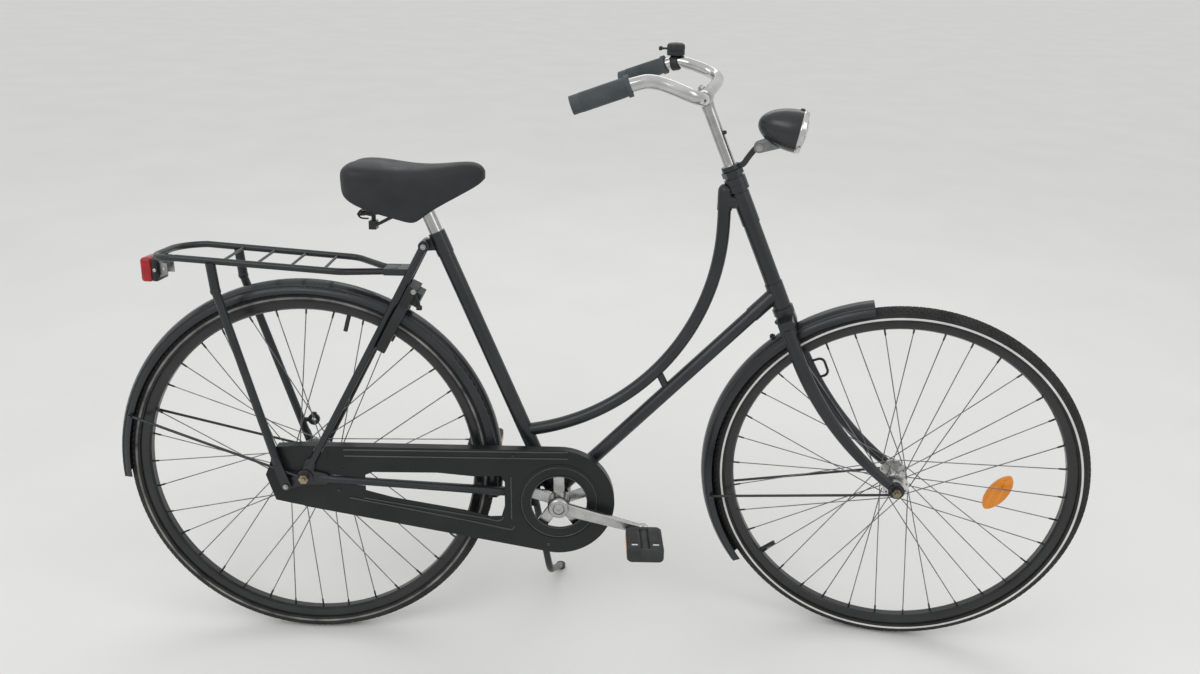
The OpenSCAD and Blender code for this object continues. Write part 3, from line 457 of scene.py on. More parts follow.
def sweep_points(stations, steps):
    """smooth line through the stations"""
    stations = [Vector(p) for p in stations]
    ends = [2 * stations[0] - stations[1]] + stations + [2 * stations[-1] - stations[-2]]
    line = []
    for a, b, c, d in zip(ends, ends[1:], ends[2:], ends[3:]):
        for k in range(steps):
            t = k / steps
            line.append(0.5 * (2 * b + (c - a) * t + (2 * a - 5 * b + 4 * c - d) * t ** 2
                               + (3 * b - a - 3 * c + d) * t ** 3))
    return line + [stations[-1]]


# Points closer than this are one point, and edges turned more than this stay sharp
WELD = 1e-4
SHARP = 35.0


def set_on(bm, name, body, finish, sharp=SHARP, node=None, seat=None):
    """moves a drawn mesh into the parked frame and lets it ride on a body, for a CAD node if one is named"""
    bmesh.ops.remove_doubles(bm, verts=bm.verts, dist=WELD)
    bmesh.ops.recalc_face_normals(bm, faces=bm.faces)
    mesh = bpy.data.meshes.new(name)
    bm.to_mesh(mesh)
    bm.free()
    mesh.transform(seat_of(body) if seat is None else seat)
    piece = add_piece(mesh, name, body, finish, sharp)
    if node:
        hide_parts(node)
    return piece


def add_piece(mesh, name, body, finish, sharp=SHARP):
    mesh.shade_smooth()
    mesh.set_sharp_from_angle(angle=math.radians(sharp))
    mesh.materials.clear()
    mesh.materials.append(finish)
    piece = bpy.data.objects.new(name, mesh)
    scene.collection.objects.link(piece)
    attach(piece, body)
    return piece


# Geometry Nodes: a shape in metres repeated on sites
class Shapes(Nodes):
    """builds one tree: sizes by name, a shape from primitives, copies on the sites"""

    def __init__(self, name, sizes):
        super().__init__(bpy.data.node_groups.new(name, "GeometryNodeTree"))
        sockets = self.tree.interface
        sockets.new_socket("Geometry", in_out="INPUT", socket_type="NodeSocketGeometry")
        for label, value in sizes.items():
            sockets.new_socket(label, in_out="INPUT", socket_type="NodeSocketFloat").default_value = value
        sockets.new_socket("Finish", in_out="INPUT", socket_type="NodeSocketMaterial")
        sockets.new_socket("Geometry", in_out="OUTPUT", socket_type="NodeSocketGeometry")
        self.given = self.tree.nodes.new("NodeGroupInput").outputs
        self.parts = []

    def add(self, kind, values):
        """a node whose inputs may also be the tree's sizes by name"""
        named = {label: self.given[v] if isinstance(v, str) else v for label, v in values.items()}
        return super().add(kind, named)

    def moved(self, geometry, place=(0, 0, 0), tilt=(0, 0, 0), scale=(1, 1, 1)):
        where = {"Geometry": geometry, "Translation": place, "Rotation": tilt, "Scale": scale}
        self.parts.append(self.add("GeometryNodeTransform", where)["Geometry"])
        return self

    def drum(self, radius, depth, sides, **where):
        made = self.add("GeometryNodeMeshCylinder", {"Vertices": sides, "Radius": radius, "Depth": depth})
        return self.moved(made["Mesh"], **where)

    def cone(self, low, high, depth, sides, **where):
        sizes = {"Vertices": sides, "Radius Bottom": low, "Radius Top": high, "Depth": depth}
        return self.moved(self.add("GeometryNodeMeshCone", sizes)["Mesh"], **where)

    def ball(self, radius, sides, rings, **where):
        made = self.add("GeometryNodeMeshUVSphere", {"Segments": sides, "Rings": rings, "Radius": radius})
        return self.moved(made["Mesh"], **where)

    def bar(self, size, **where):
        return self.moved(self.add("GeometryNodeMeshCube", {"Size": size})["Mesh"], **where)

    def hoop(self, radius, wire, steps, sides):
        circle = "GeometryNodeCurvePrimitiveCircle"
        path = self.add(circle, {"Resolution": steps, "Radius": radius})["Curve"]
        section = self.add(circle, {"Resolution": sides, "Radius": wire})["Curve"]
        sweep = self.add("GeometryNodeCurveToMesh", {"Curve": path, "Profile Curve": section})
        return self.moved(sweep["Mesh"])

    def done(self):
        """copies of the shape on the points, turned by their own attribute"""
        join = self.tree.nodes.new("GeometryNodeJoinGeometry")
        for part in self.parts:
            self.feed(join, {"Geometry": part})
        way = self.tree.nodes.new("GeometryNodeInputNamedAttribute")
        way.data_type = "FLOAT_VECTOR"
        euler = self.feed(way, {"Name": "turn"})["Attribute"]
        spin = self.add("FunctionNodeEulerToRotation", {"Euler": euler})
        copies = self.add("GeometryNodeInstanceOnPoints", {
            "Points": "Geometry", "Instance": join.outputs["Geometry"], "Rotation": spin["Rotation"]})
        real = self.add("GeometryNodeRealizeInstances", {"Geometry": copies["Instances"]})
        finish = self.add("GeometryNodeSetMaterial", {"Geometry": real["Geometry"], "Material": "Finish"})
        self.add("NodeGroupOutput", {"Geometry": finish["Geometry"]})
        return self.tree


def site(seat, place, facing, along=None):
    """a place in the parked frame with Z facing out and X along"""
    z = Vector(facing).normalized()
    x = Vector(along) if along is not None else z.orthogonal()
    x = (x - z * x.dot(z)).normalized()
    local = Matrix((x, z.cross(x), z)).transposed()
    spin = (seat.to_3x3().normalized() @ local).to_euler("XYZ")
    return seat @ Vector(place), spin


def grow(name, body, tree, places, finish, sizes=None):
    """the tree's shape on every place, as one plain mesh; a place has its facing and may have a way along"""
    sites = [site(seat_of(body), *place) for place in places]
    points = bpy.data.meshes.new(name + "_sites")
    points.from_pydata([p for p, _ in sites], [], [])
    ways = points.attributes.new("turn", "FLOAT_VECTOR", "POINT")
    ways.data.foreach_set("vector", [c for _, e in sites for c in e])
    holder = bpy.data.objects.new(name + "_sites", points)
    scene.collection.objects.link(holder)
    copies = holder.modifiers.new("copies", "NODES")
    copies.node_group = tree
    values = {"Finish": finish, **(sizes or {})}
    for item in tree.interface.items_tree:
        if item.in_out == "INPUT" and item.name in values:
            copies[item.identifier] = values[item.name]
    mesh = bpy.data.meshes.new_from_object(holder.evaluated_get(bpy.context.evaluated_depsgraph_get()))
    mesh.name = name
    holder.modifiers.remove(copies)
    bpy.data.objects.remove(holder)
    return add_piece(mesh, name, body, finish)


# Washer, hexagon head and a domed stud end
BOLT = (Shapes("bolt", {"Washer radius": 0.0062, "Head radius": 0.0046, "Stud radius": 0.0026})
        .drum("Washer radius", 0.0012, 16, place=(0, 0, 0.0004))
        .drum("Head radius", 0.0034, 6, place=(0, 0, 0.0025))
        .ball("Stud radius", 10, 6, place=(0, 0, 0.0042), scale=(1, 1, 0.7)).done())

# Round head with a raised cross
SCREW = (Shapes("pan_screw", {"Head radius": 0.0034})
         .drum("Head radius", 0.0012, 16, place=(0, 0, 0.0004))
         .ball("Head radius", 16, 8, place=(0, 0, 0.0009), scale=(0.97, 0.97, 0.42))
         .bar((0.0036, 0.0006, 0.0006), place=(0, 0, 0.0022))
         .bar((0.0006, 0.0036, 0.0006), place=(0, 0, 0.0022)).done())

# Spoke ends: a nipple with a tapered mouth, a flat round head
NIPPLE = (Shapes("nipple", {"Radius": 0.0018})
          .drum("Radius", 0.010, 8, place=(0, 0, 0.0050))
          .cone("Radius", 0.0012, 0.0025, 8, place=(0, 0, 0.0100)).done())
SPOKE_HEAD = Shapes("spoke_head", {"Radius": 0.0019}).ball("Radius", 8, 5, scale=(1, 1, 0.7)).done()

# Square forms with sloped walls: a tread block, a sprocket tooth
EIGHTH_TURN = (0, 0, math.pi / 4)
TREAD = (Shapes("tread_block", {"Foot": 0.0050, "Top": 0.0040})
         .cone("Foot", "Top", 0.0016, 4, place=(0, 0, -0.0008), tilt=EIGHTH_TURN).done())
TOOTH = (Shapes("tooth", {"Foot": 0.0056, "Tip": 0.0022})
         .cone("Foot", "Tip", 0.0075, 4, place=(0, 0, -0.001), tilt=EIGHTH_TURN, scale=(1, 0.36, 1)).done())

# Ridges of the grips, ribs of the pedals
RIDGE = Shapes("grip_ridge", {"Radius": 0.0149, "Wire": 0.00075}).hoop("Radius", "Wire", 40, 6).done()
RIB = (Shapes("pedal_rib", {"End radius": 0.0012})
       .bar((0.0024, 0.052, 0.0018))
       .drum("End radius", 0.0018, 8, place=(0, -0.026, 0))
       .drum("End radius", 0.0018, 8, place=(0, 0.026, 0)).done())


def link_tree(name, half_width, pitch, rollers):
    """two eyed plates and their pins, or inner plates with rollers"""
    s = Shapes(name, {"Eye radius": 0.0039, "Roller radius": 0.0036, "Pin radius": 0.0017})
    for side in BOTH:
        z = side * half_width
        s.bar((pitch, 0.0052, 0.0009), place=(0, 0, z))
        for end in BOTH:
            s.drum("Eye radius", 0.0009, 12, place=(end * pitch / 2, 0, z))
    for end in BOTH:
        if rollers:
            s.drum("Roller radius", 2 * half_width - 0.001, 10, place=(end * pitch / 2, 0, 0))
        else:
            s.drum("Pin radius", 2 * half_width + 0.0012, 8, place=(end * pitch / 2, 0, 0))
    return s.done()


# Tyres: rows of tread blocks by their angle on the tyre, and the wall stripe by angle and lift
TREAD_ROWS = (-52, -30, -10, 10, 30, 52)
TREAD_PER_ROW = 176
TREAD_SLANT = 0.35
TYRE_STEPS = 180
STRIPE_SECTION = ((80, 0.3), (83, 0.38), (86, 0.4), (89, 0.38), (92, 0.3), (92, -0.6), (80, -0.6))


def dress_tyre(end, axle, stripe):
    body = end + "_wheel"
    blocks = []
    for row, lean in enumerate(TREAD_ROWS):
        out, spread = on_circle(1.0, lean)
        slant = math.copysign(TREAD_SLANT, lean)
        for k in range(TREAD_PER_ROW):
            degrees = 360 * (k + 0.5 * (row % 2)) / TREAD_PER_ROW
            place = wheel_point(axle, RING_R + TYRE_R * out, TYRE_R * spread, degrees)
            x, z = on_circle(1.0, degrees)
            blocks.append((place, (x * out, spread, z * out), (-z, slant, x)))
    grow(end + "_tyre_tread", body, TREAD, blocks, TYRE_RUBBER)
    bm = bmesh.new()
    section = [on_circle(TYRE_R + lift, angle) for angle, lift in STRIPE_SECTION]
    for side in BOTH:
        outline = [(RING_R + c, side * s) for c, s in section]
        lathe(bm, outline, shift(axle) @ turn("X", 90), TYRE_STEPS, ring=True)
    set_on(bm, end + "_tyre_stripe", body, stripe)


# Wheels: nipples at the rim and spoke heads on the flanges, as the solid's spokes are laced
SPOKES = 36
SPOKE_LEAD = 60
RIM_IN_R = 306.0


def dress_wheel(end, axle, flange_r, flange_y, hole_r):
    nipples, heads = [], []
    for k in range(SPOKES):
        side = -1 if k % 2 == 0 else 1
        lead = 1 if (k // 2) % 2 == 0 else -1
        at_rim = 360 / SPOKES * k
        at_hub = at_rim + lead * SPOKE_LEAD
        low = wheel_point(axle, flange_r + 1.2, side * (flange_y + lead * 1.6), at_hub)
        high = wheel_point(axle, RIM_IN_R - 0.2, side * (4 + lead * 1.3), at_rim)
        nipples.append((high, low - high))
        head = wheel_point(axle, hole_r, side * (flange_y + lead * 3.6), at_hub)
        heads.append((head, (0, lead * side, 0)))
    body = end + "_wheel"
    grow(end + "_nipples", body, NIPPLE, nipples, DARK_STEEL)
    grow(end + "_spoke_heads", body, SPOKE_HEAD, heads, SPOKE_STEEL)


# Chain of links on the drive's fixed loop, teeth on ring and sprocket
BB = (471.0, 301.0)
CHAIN_Y = -44.0
RING_PITCH_R, RING_TEETH_R, RING_TEETH = 85.0, 80.0, 44
COG_PITCH_R, COG_TEETH_R, COG_TEETH = 38.5, 33.5, 20


def spaced(route, pitch):
    """an even number of places along a route with their directions, and the step nearest to the pitch"""
    runs = [(b - a).length for a, b in zip(route, route[1:])]
    count = 2 * round(sum(runs) / pitch / 2)
    step = sum(runs) / count
    found, run, passed = [], 0, 0.0
    for k in range(count):
        want = k * step
        while passed + runs[run] < want:
            passed += runs[run]
            run += 1
        way = (route[run + 1] - route[run]).normalized()
        found.append((route[run] + way * (want - passed), way))
    return found, step


def teeth(x, z, radius, count):
    """places round a toothed wheel, each facing out"""
    found = []
    for k in range(count):
        c, s = on_circle(1.0, 360 * k / count)
        found.append(((x + radius * c, CHAIN_Y, z + radius * s), (c, 0, s), (-s, 0, c)))
    return found


def dress_chain():
    outline = belt((0.0, AXLE_Z), COG_PITCH_R, BB, RING_PITCH_R, 60)
    loop = [Vector((x, CHAIN_Y, z)) for x, z in outline]
    found, step = spaced(loop + loop[:1], 2 * math.pi * RING_PITCH_R / RING_TEETH)
    links = [(place, (0, -1, 0), way) for place, way in found]
    outer = link_tree("outer_link", 0.0024, step * METRES, False)
    inner = link_tree("inner_link", 0.0015, step * METRES, True)
    first = grow("chain_outer_links", "frame", outer, links[0::2], CHAIN_STEEL)
    grow("chain_inner_links", "frame", inner, links[1::2], CHAIN_STEEL)
    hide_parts("chain")
    ring = teeth(BB[0], BB[1], RING_TEETH_R, RING_TEETH)
    cog = teeth(0.0, AXLE_Z, COG_TEETH_R, COG_TEETH)
    grow("chainring_teeth", "crank", TOOTH, ring, ALLOY)
    grow("sprocket_teeth", "frame", TOOTH, cog, BARE_STEEL)


# Saddle: a padded shell sculpted from sections, nose forward
SADDLE_SECTIONS = [
    # x, half width, top, shoulder, lower edge, lower half width, ceiling
    (88, 50, 906.5, 899, 882, 46, 886),
    (91.5, 74, 916, 904, 872, 66, 878),
    (101, 89, 923, 905, 861, 77, 868),
    (121, 96.5, 925.5, 904, 850, 81, 857),
    (150, 93.5, 923.5, 901, 838, 74, 850),
    (176, 83, 920.5, 898, 829, 61, 850),
    (198, 72, 918.5, 896, 820, 49, 856),
    (213, 65, 918, 895, 818, 43, 860),
    (231, 56, 918, 895, 834, 39, 865),
    (254, 45.5, 919.5, 897, 848, 33, 872),
    (278, 36.5, 922.5, 900, 861, 27, 880),
    (300, 30, 924.5, 903, 873, 21, 888),
    (316, 24.5, 923, 904, 882, 16, 893),
    (326, 16, 917, 904, 890, 11, 897),
    (331, 7, 909, 903, 896.5, 5, 900),
]


def saddle_loop(x, half, top, shoulder, low, low_half, ceiling):
    """one closed section of the saddle: crown, rounded side, skirt, inner wall, ceiling"""
    dip = 1.2 if half > 60 else 0.0
    wall = min(8.0, 0.5 * low_half)
    side = [(0.36 * half, top + 0.4), (0.68 * half, top - 2.0), (0.9 * half, (2 * top + shoulder) / 3),
            (half, shoulder), (0.55 * half + 0.45 * low_half, 0.45 * shoulder + 0.55 * low),
            (low_half + 0.2 * wall, low + 0.5 * wall), (low_half - 0.3 * wall, low),
            (low_half - 0.85 * wall, low + 0.25 * wall), (low_half - wall, (low + ceiling) / 2),
            (0.5 * (low_half - wall), ceiling)]
    right = [(x, -y, z) for y, z in side]
    left = [(x, y, z) for y, z in reversed(side)]
    return [(x, 0, top - dip)] + right + [(x, 0, ceiling)] + left


def make_saddle():
    bm = bmesh.new()
    loops = [[bm.verts.new(p) for p in saddle_loop(*row)] for row in SADDLE_SECTIONS]
    walls(bm, loops)
    count = len(loops[0])
    for end in (loops[0], loops[-1]):
        for k in range(count // 2):
            face(bm, [end[k], end[k + 1], end[(count - k - 1) % count], end[(count - k) % count]])
    saddle = set_on(bm, "saddle_cover", "frame", SADDLE_VINYL, 180)
    smooth = saddle.modifiers.new("padding", "SUBSURF")
    smooth.levels = smooth.render_levels = 3
    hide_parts("saddle")


# Headlamp: pieces turned about the lamp's axis, cheeks and a bent arm on the headset
LAMP_SEAT = shift(FRONT_AXLE + Vector((-237, 0, 647))) @ turn("Y", 101)
LAMP_BOLT = FRONT_AXLE + Vector((-302, 0, 618))
LAMP_R, LAMP_DEPTH = 36.8, 71
LAMP_EGG = [(LAMP_R * math.sin(math.radians(a)), -LAMP_DEPTH * math.cos(math.radians(a)))
            for a in range(0, 91, 6)]
LAMP_ARM = ((775, 0, 928), (786, 0, 933), (793, 0, 943.5), (800.5, 0, 954.5), (807, 0, 962), (814, 0, 965))
CHEEK_OUT = 9.4
HEADSET_TOP = 666.4
LAMP_TURNINGS = [
    # name, finish, slot, sharp angle, CAD node, steps, closed ring, outline
    ("headlamp_bullet", LAMP_BLACK, "black_plastic", 50, "headlamp_shell", 64, False,
     LAMP_EGG + [(34.5, 0.4), (33.6, -1), (33.4, -4), (30.4, -4), (9, -27), (0, -27)]),
    ("headlamp_bezel", CHROME, "chrome", 50, None, 64, True,
     [(33.4, 0.6), (37.2, 0.6), (38.2, 1.8), (38.0, 3.6), (36.6, 5.0), (35.8, 8.6), (34.2, 10.2),
      (32.6, 9.8), (32.4, 4.0)]),
    ("headlamp_bowl", CHROME, "chrome", 70, None, 64, True,
     [(32.8, 3.2), (28, -5.4), (22, -12.6), (15, -19), (9, -23.2), (5.4, -24.8), (4.6, -25.6),
      (9.6, -24.2), (16, -19.8), (23, -13.2), (29, -5.8), (33.4, 2.4)]),
    ("headlamp_bulb", CLEAR, "clear_lens", 50, None, 24, False,
     [(0, -24.5), (4.2, -24.5), (4.2, -19), (3.0, -17.4), (4.8, -13.5), (5.4, -9.5), (4.2, -6), (0, -4.2)]),
    ("headlamp_glass", CLEAR, "clear_lens", 60, "headlamp_lens", 64, False,
     [(0, 14.6), (9, 14.3), (18, 13.2), (26, 11.2), (32.2, 7.6), (32.2, 5.8), (26, 9.4), (18, 11.5),
      (9, 12.6), (0, 12.9)]),
]


def make_headlamp():
    for name, finish, slot, sharp, node, steps, ring, outline in LAMP_TURNINGS:
        bm = bmesh.new()
        lathe(bm, outline, LAMP_SEAT, steps, ring)
        set_on(bm, name, "steering", finish, sharp, node)
    x, z = LAMP_BOLT.x, LAMP_BOLT.z
    bm = bmesh.new()
    for side in BOTH:
        slab(bm, belt((x, z), 9.8, (x + 40, z + 14), 12), side * 7.4, side * CHEEK_OUT, 0.6)
    set_on(bm, "headlamp_cheeks", "steering", SPOKE_STEEL)
    bm = bmesh.new()
    lathe(bm, [(10.6, HEADSET_TOP), (16, HEADSET_TOP), (16.6, 667), (16.6, 674.4), (16, 675), (10.6, 675)],
          STEER_SEAT, 40, ring=True)
    slab(bm, ribbon([(p.x, p.z) for p in sweep_points(LAMP_ARM, 5)], 5.2), -3.6, 3.6, 1.2)
    lathe(bm, [(0, -7.2), (7.6, -7.2), (8.8, -6), (8.8, 6), (7.6, 7.2), (0, 7.2)], across_seat(x, z), 32)
    tube(bm, [LAMP_BOLT + Vector((2, 0, 0)), LAMP_BOLT + Vector((32, 0, 10.5))], 5, 16)
    set_on(bm, "headlamp_arm", "steering", RACK_PAINT, 40, "lamp_bracket")
    bolts = [((x, side * CHEEK_OUT, z), (0, side, 0)) for side in BOTH]
    grow("headlamp_bolts", "steering", BOLT, bolts, BARE_STEEL)
    top = [(LAMP_SEAT @ Vector((-37.0, 0, -3)), LAMP_SEAT.to_3x3() @ Vector((-1, 0, 0)))]
    grow("headlamp_screw", "steering", SCREW, top, DARK_STEEL, {"Head radius": 0.0042})


# Rear lamp: rounded red lens, case and bracket
def make_rear_lamp():
    bm = bmesh.new()
    block(bm, (-284, -22, 699.5), (-263.5, 22, 743.5), 6.0, segments=4)
    set_on(bm, "rear_lamp_red", "frame", RED, 40, "rear_lamp_lens")
    bm = bmesh.new()
    block(bm, (-263.3, -23, 701), (-253, 23, 742), 3.0, segments=3)
    block(bm, (-259, -10, 737), (-237, 10, 745.7), 1.2)
    set_on(bm, "rear_lamp_case", "frame", BLACK_PLASTIC, 40, "rear_lamp")
    bm = bmesh.new()
    block(bm, (-252.8, -15, 708), (-250.6, 15, 738), 0.7)
    for side in BOTH:
        block(bm, (-251.5, side * 15 - 1, 712), (-238, side * 15 + 1, 734), 0.6)
    set_on(bm, "rear_lamp_bracket", "frame", BARE_STEEL)
    screws = [((-257.5, side * 23, 722), (0, side, 0)) for side in BOTH]
    screws += [((-244, side * 16, 723), (0, side, 0)) for side in BOTH]
    grow("rear_lamp_screws", "frame", SCREW, screws, CHROME)


# Handlebar from its middle on the steering axis, with points of the left half
BAR_MIDDLE = on_axis(812)
BAR_CLAMP = on_axis(802)
BAR_BEND = Vector((-62, 204, 33))
GRIP_START = Vector((-92, 209, 27))
GRIP_END = Vector((-178, 221, -4))
GRIP_WAY = (GRIP_END - GRIP_START).normalized()


# Bell with a domed cap and a thumb lever
def make_bell():
    place = BAR_MIDDLE + 0.62 * BAR_BEND + 0.38 * GRIP_START
    way = (GRIP_START - BAR_BEND).normalized()
    bm = bmesh.new()
    lathe(bm, [(0, 13.5), (15.5, 13.5), (17.2, 15), (17.4, 20), (17.4, 21.5), (16.8, 22), (16.8, 23),
               (17.4, 23.5), (17.4, 31), (16, 34.5), (12, 36.6), (4, 37.4), (0, 37.5)], shift(place), 48)
    lathe(bm, [(0, 8), (6.4, 8), (6.4, 14), (0, 14)], shift(place), 24)
    clip = shift(place) @ way.to_track_quat("Z", "Y").to_matrix().to_4x4()
    lathe(bm, [(11.4, -7), (13.6, -7.6), (14.6, -6), (14.6, 6), (13.6, 7.6), (11.4, 7)], clip, 40, ring=True)
    block(bm, place + Vector((-30, -3, 24)), place + Vector((-12, 3, 28)), 1.4)
    block(bm, place + Vector((-33, -5, 22)), place + Vector((-26, 5, 30)), 2.2)
    set_on(bm, "bell_cap", "steering", BLACK_PLASTIC, 40, "bell")


# Grips: fine ridges round the rubber
RIDGES_PER_GRIP = 30
RIDGE_STEP = 2.3


def dress_grips():
    ridges = []
    start = BAR_MIDDLE + GRIP_START + 14 * GRIP_WAY
    for mirror in (1, -1):
        for k in range(RIDGES_PER_GRIP):
            p = start + GRIP_WAY * (RIDGE_STEP * k)
            ridges.append(((p.x, mirror * p.y, p.z), (GRIP_WAY.x, mirror * GRIP_WAY.y, GRIP_WAY.z)))
    grow("grip_ridges", "steering", RIDGE, ridges, GRIP_RUBBER)


# Cranks: bevelled arms, spider and caps
CRANK_LEN = 163.0
CRANK_DROP = 15.0
CRANK_IN, CRANK_OUT = 74, 86
SPIDER_ANGLES = [72 * k + 20 for k in range(5)]
CRANK_CAP = [(0, 85.8), (10.2, 85.8), (10.2, 87.6), (9.2, 88.6), (3.2, 88.6), (2.6, 87.2), (0, 87.2)]
PEDAL_EYE = [(0, CRANK_IN), (9.8, CRANK_IN), (11.2, 75.4), (11.2, 84.8), (9.8, 86.2), (9.5, 86.2), (9.5, 90),
             (7.5, 91.4), (6.2, 91.4), (6.2, 110), (0, 110)]
SPIDER_IN, SPIDER_OUT, SPIDER_BOLT_R = 12, 70, 64


def crank_tip(right):
    x, z = on_circle(CRANK_LEN, -CRANK_DROP if right else 180 - CRANK_DROP)
    return BB[0] + x, BB[1] + z


def make_crank(right):
    side = -1 if right else 1
    tip = crank_tip(right)
    bm = bmesh.new()
    slab(bm, belt(BB, 12.6, tip, 8.6, 18), side * CRANK_IN, side * CRANK_OUT, 3.6, 3)
    hub_r, reach = (21, 45.6) if right else (19, 46)
    boss = [(9, 60.2), (9, reach), (hub_r - 1.5, reach), (hub_r, reach + 1.5), (hub_r, 80), (hub_r - 3, 87.5),
            (hub_r - 5.5, 89), (11, 89), (10.4, 86.2), (0, 86.2), (0, 60.2)]
    lathe(bm, boss, across_seat(*BB, right), 48)
    lathe(bm, CRANK_CAP, across_seat(*BB, right), 32)
    lathe(bm, PEDAL_EYE, across_seat(*tip, right), 32)
    if right:
        for angle in SPIDER_ANGLES:
            arm = shift((BB[0], 0, BB[1])) @ turn("Y", -angle)
            block(bm, (SPIDER_IN, -50.2, -10.2), (SPIDER_OUT, -45.6, 10.2), 1.6, arm)
    node = "crank_right" if right else "crank_left"
    set_on(bm, node + "_forged", "crank", ALLOY, 40, node)


def spider_bolts():
    bolts = []
    for angle in SPIDER_ANGLES:
        x, z = on_circle(SPIDER_BOLT_R, angle)
        bolts.append(((BB[0] + x, -50.0, BB[1] + z), (0, -1, 0)))
    grow("spider_bolts", "crank", BOLT, bolts, BARE_STEEL)


# Pedals: two rubber blocks between rounded end plates, ribs, pale blocks as painted highlights and amber
# reflectors
PEDAL_MIDDLE = 138
PEDAL_PLATES = (96, 180)
BLOCK_OFFSET = 20
BLOCK_HALF_X, BLOCK_HALF_Y, BLOCK_HALF_Z = 12.8, 41.5, 12.6
RIBS_PER_BLOCK, RIB_STEP, RIB_Y = 4, 4.8, 130
REFLECTOR_OFFSET = 32.6
# Places of the pale blocks on the pedal faces, painted highlights standing in for glints
GLINT_OFFSET, GLINT_Y, GLINT_Z = 19, 165, 12.9


def make_pedal(right):
    body = "pedal_right" if right else "pedal_left"
    side = -1 if right else 1
    px, pz = crank_tip(right)
    middle = side * PEDAL_MIDDLE
    bm = bmesh.new()
    for end in BOTH:
        x = px + end * BLOCK_OFFSET
        block(bm, (x - BLOCK_HALF_X, middle - BLOCK_HALF_Y, pz - BLOCK_HALF_Z),
              (x + BLOCK_HALF_X, middle + BLOCK_HALF_Y, pz + BLOCK_HALF_Z), 4.0, segments=3)
    for plate in PEDAL_PLATES:
        slab(bm, rounded(px, pz, 32, 12, 8), side * plate - 4, side * plate + 4, 1.8, 3)
    lathe(bm, [(0, 93), (10.5, 93), (10.5, 184), (8.5, 185.6), (0, 185.6)], across_seat(px, pz, right), 32)
    set_on(bm, body + "_blocks", body, PEDAL_RUBBER, 40, body)
    ribs = []
    for up in BOTH:
        for end in BOTH:
            for k in range(RIBS_PER_BLOCK):
                x = px + end * BLOCK_OFFSET - 7.2 + RIB_STEP * k
                ribs.append(((x, side * RIB_Y, pz + up * BLOCK_HALF_Z), (0, 0, up), (1, 0, 0)))
    grow(body + "_ribs", body, RIB, ribs, PEDAL_RUBBER)
    bm = bmesh.new()
    for end in BOTH:
        x = px + end * REFLECTOR_OFFSET
        block(bm, (x - 0.8, middle - 24, pz - 6), (x + 0.8, middle + 24, pz + 6), 0.6)
    set_on(bm, body + "_reflectors", body, AMBER)
    # Pale blocks on the tops and bottoms of the rubber blocks: painted highlights, glints drawn as colour
    bm = bmesh.new()
    for up in BOTH:
        for end in BOTH:
            x, y, z = px + end * GLINT_OFFSET, side * GLINT_Y, pz + up * GLINT_Z
            block(bm, (x - 5.5, y - 1.7, z - 0.7), (x + 5.5, y + 1.7, z + 0.7), 0.4)
    set_on(bm, body + "_marks", body, STRIPE)


# Handlebar in one smooth sweep, stem with a forged clamp, crown and clamp bolts
BAR_FRONT = Vector((4.1, 0, -9.2))
BAR_HALF = [Vector((4.7, 34, -9.2)), Vector((10, 184, 8.8)), Vector((-52.7, 200.6, 31.8)),
            GRIP_START, GRIP_END]
GUARD_HUB = FRONT_AXLE + Vector((-8, 0, -2))
STEM_QUILL = [(0, HEADSET_TOP), (13.6, HEADSET_TOP), (14.2, 668), (13.2, 672), (10.8, 676), (10.4, 680),
              (10.4, 775), (11.5, 788), (13.5, 797), (13.5, 803), (0, 804)]
STEM_CLAMP = [(11.2, -33), (12.4, -33.4), (13.6, -30), (15.4, -20), (15.8, 0), (15.4, 20), (13.6, 30),
              (12.4, 33.4), (11.2, 33)]


def make_cockpit():
    mirrored = [Vector((p.x, -p.y, p.z)) for p in reversed(BAR_HALF)]
    stations = [BAR_MIDDLE + p for p in mirrored + [BAR_FRONT] + BAR_HALF]
    bm = bmesh.new()
    tube(bm, sweep_points(stations, 14), 11.0, 28)
    set_on(bm, "handlebar_sweep", "steering", CHROME, 60, "handlebar")
    bm = bmesh.new()
    lathe(bm, STEM_QUILL, STEER_SEAT, 40)
    lathe(bm, STEM_CLAMP, shift(BAR_CLAMP) @ turn("X", 90), 40, ring=True)
    set_on(bm, "stem_quill", "steering", STEM_PLATING, 45, "stem")
    bm = bmesh.new()
    lathe(bm, [(0, 8), (3.6, 8), (3.6, 14.5), (2.8, 15.6), (0, 15.6)],
          shift(on_axis(733)) @ turn("Y", HEAD_ANGLE) @ turn("X", 20), 20)
    set_on(bm, "stem_knob", "steering", BLACK_PLASTIC, 40)
    back = wheel_point(GUARD_HUB, 364, 0, 132)
    crown = [(on_axis(371, -17.3), -STEER_FWD), (back, back - GUARD_HUB)]
    grow("crown_bolts", "steering", BOLT, crown, DARK_STEEL)
    clamp = [(BAR_CLAMP + 15.4 * STEER_UP + Vector((0, side * 9, 0)), STEER_UP) for side in BOTH]
    grow("clamp_bolts", "steering", BOLT, clamp, BARE_STEEL)


# Fork blades: deep ovals under the crown, drawn out round towards the ends
BLADE_TOP_T, BLADE_BEND_T = 362.0, 310.0
BLADE_TOP_Y, BLADE_Y = 38.0, 47.0
BLADE_SPLAY_RUN = 55
BLADE_END_GAP = 19.5
BLADE_DEEP, BLADE_WIDE = 12.6, 10.8
BLADE_STEPS = 20
BLADE_ROUND_FROM = 3


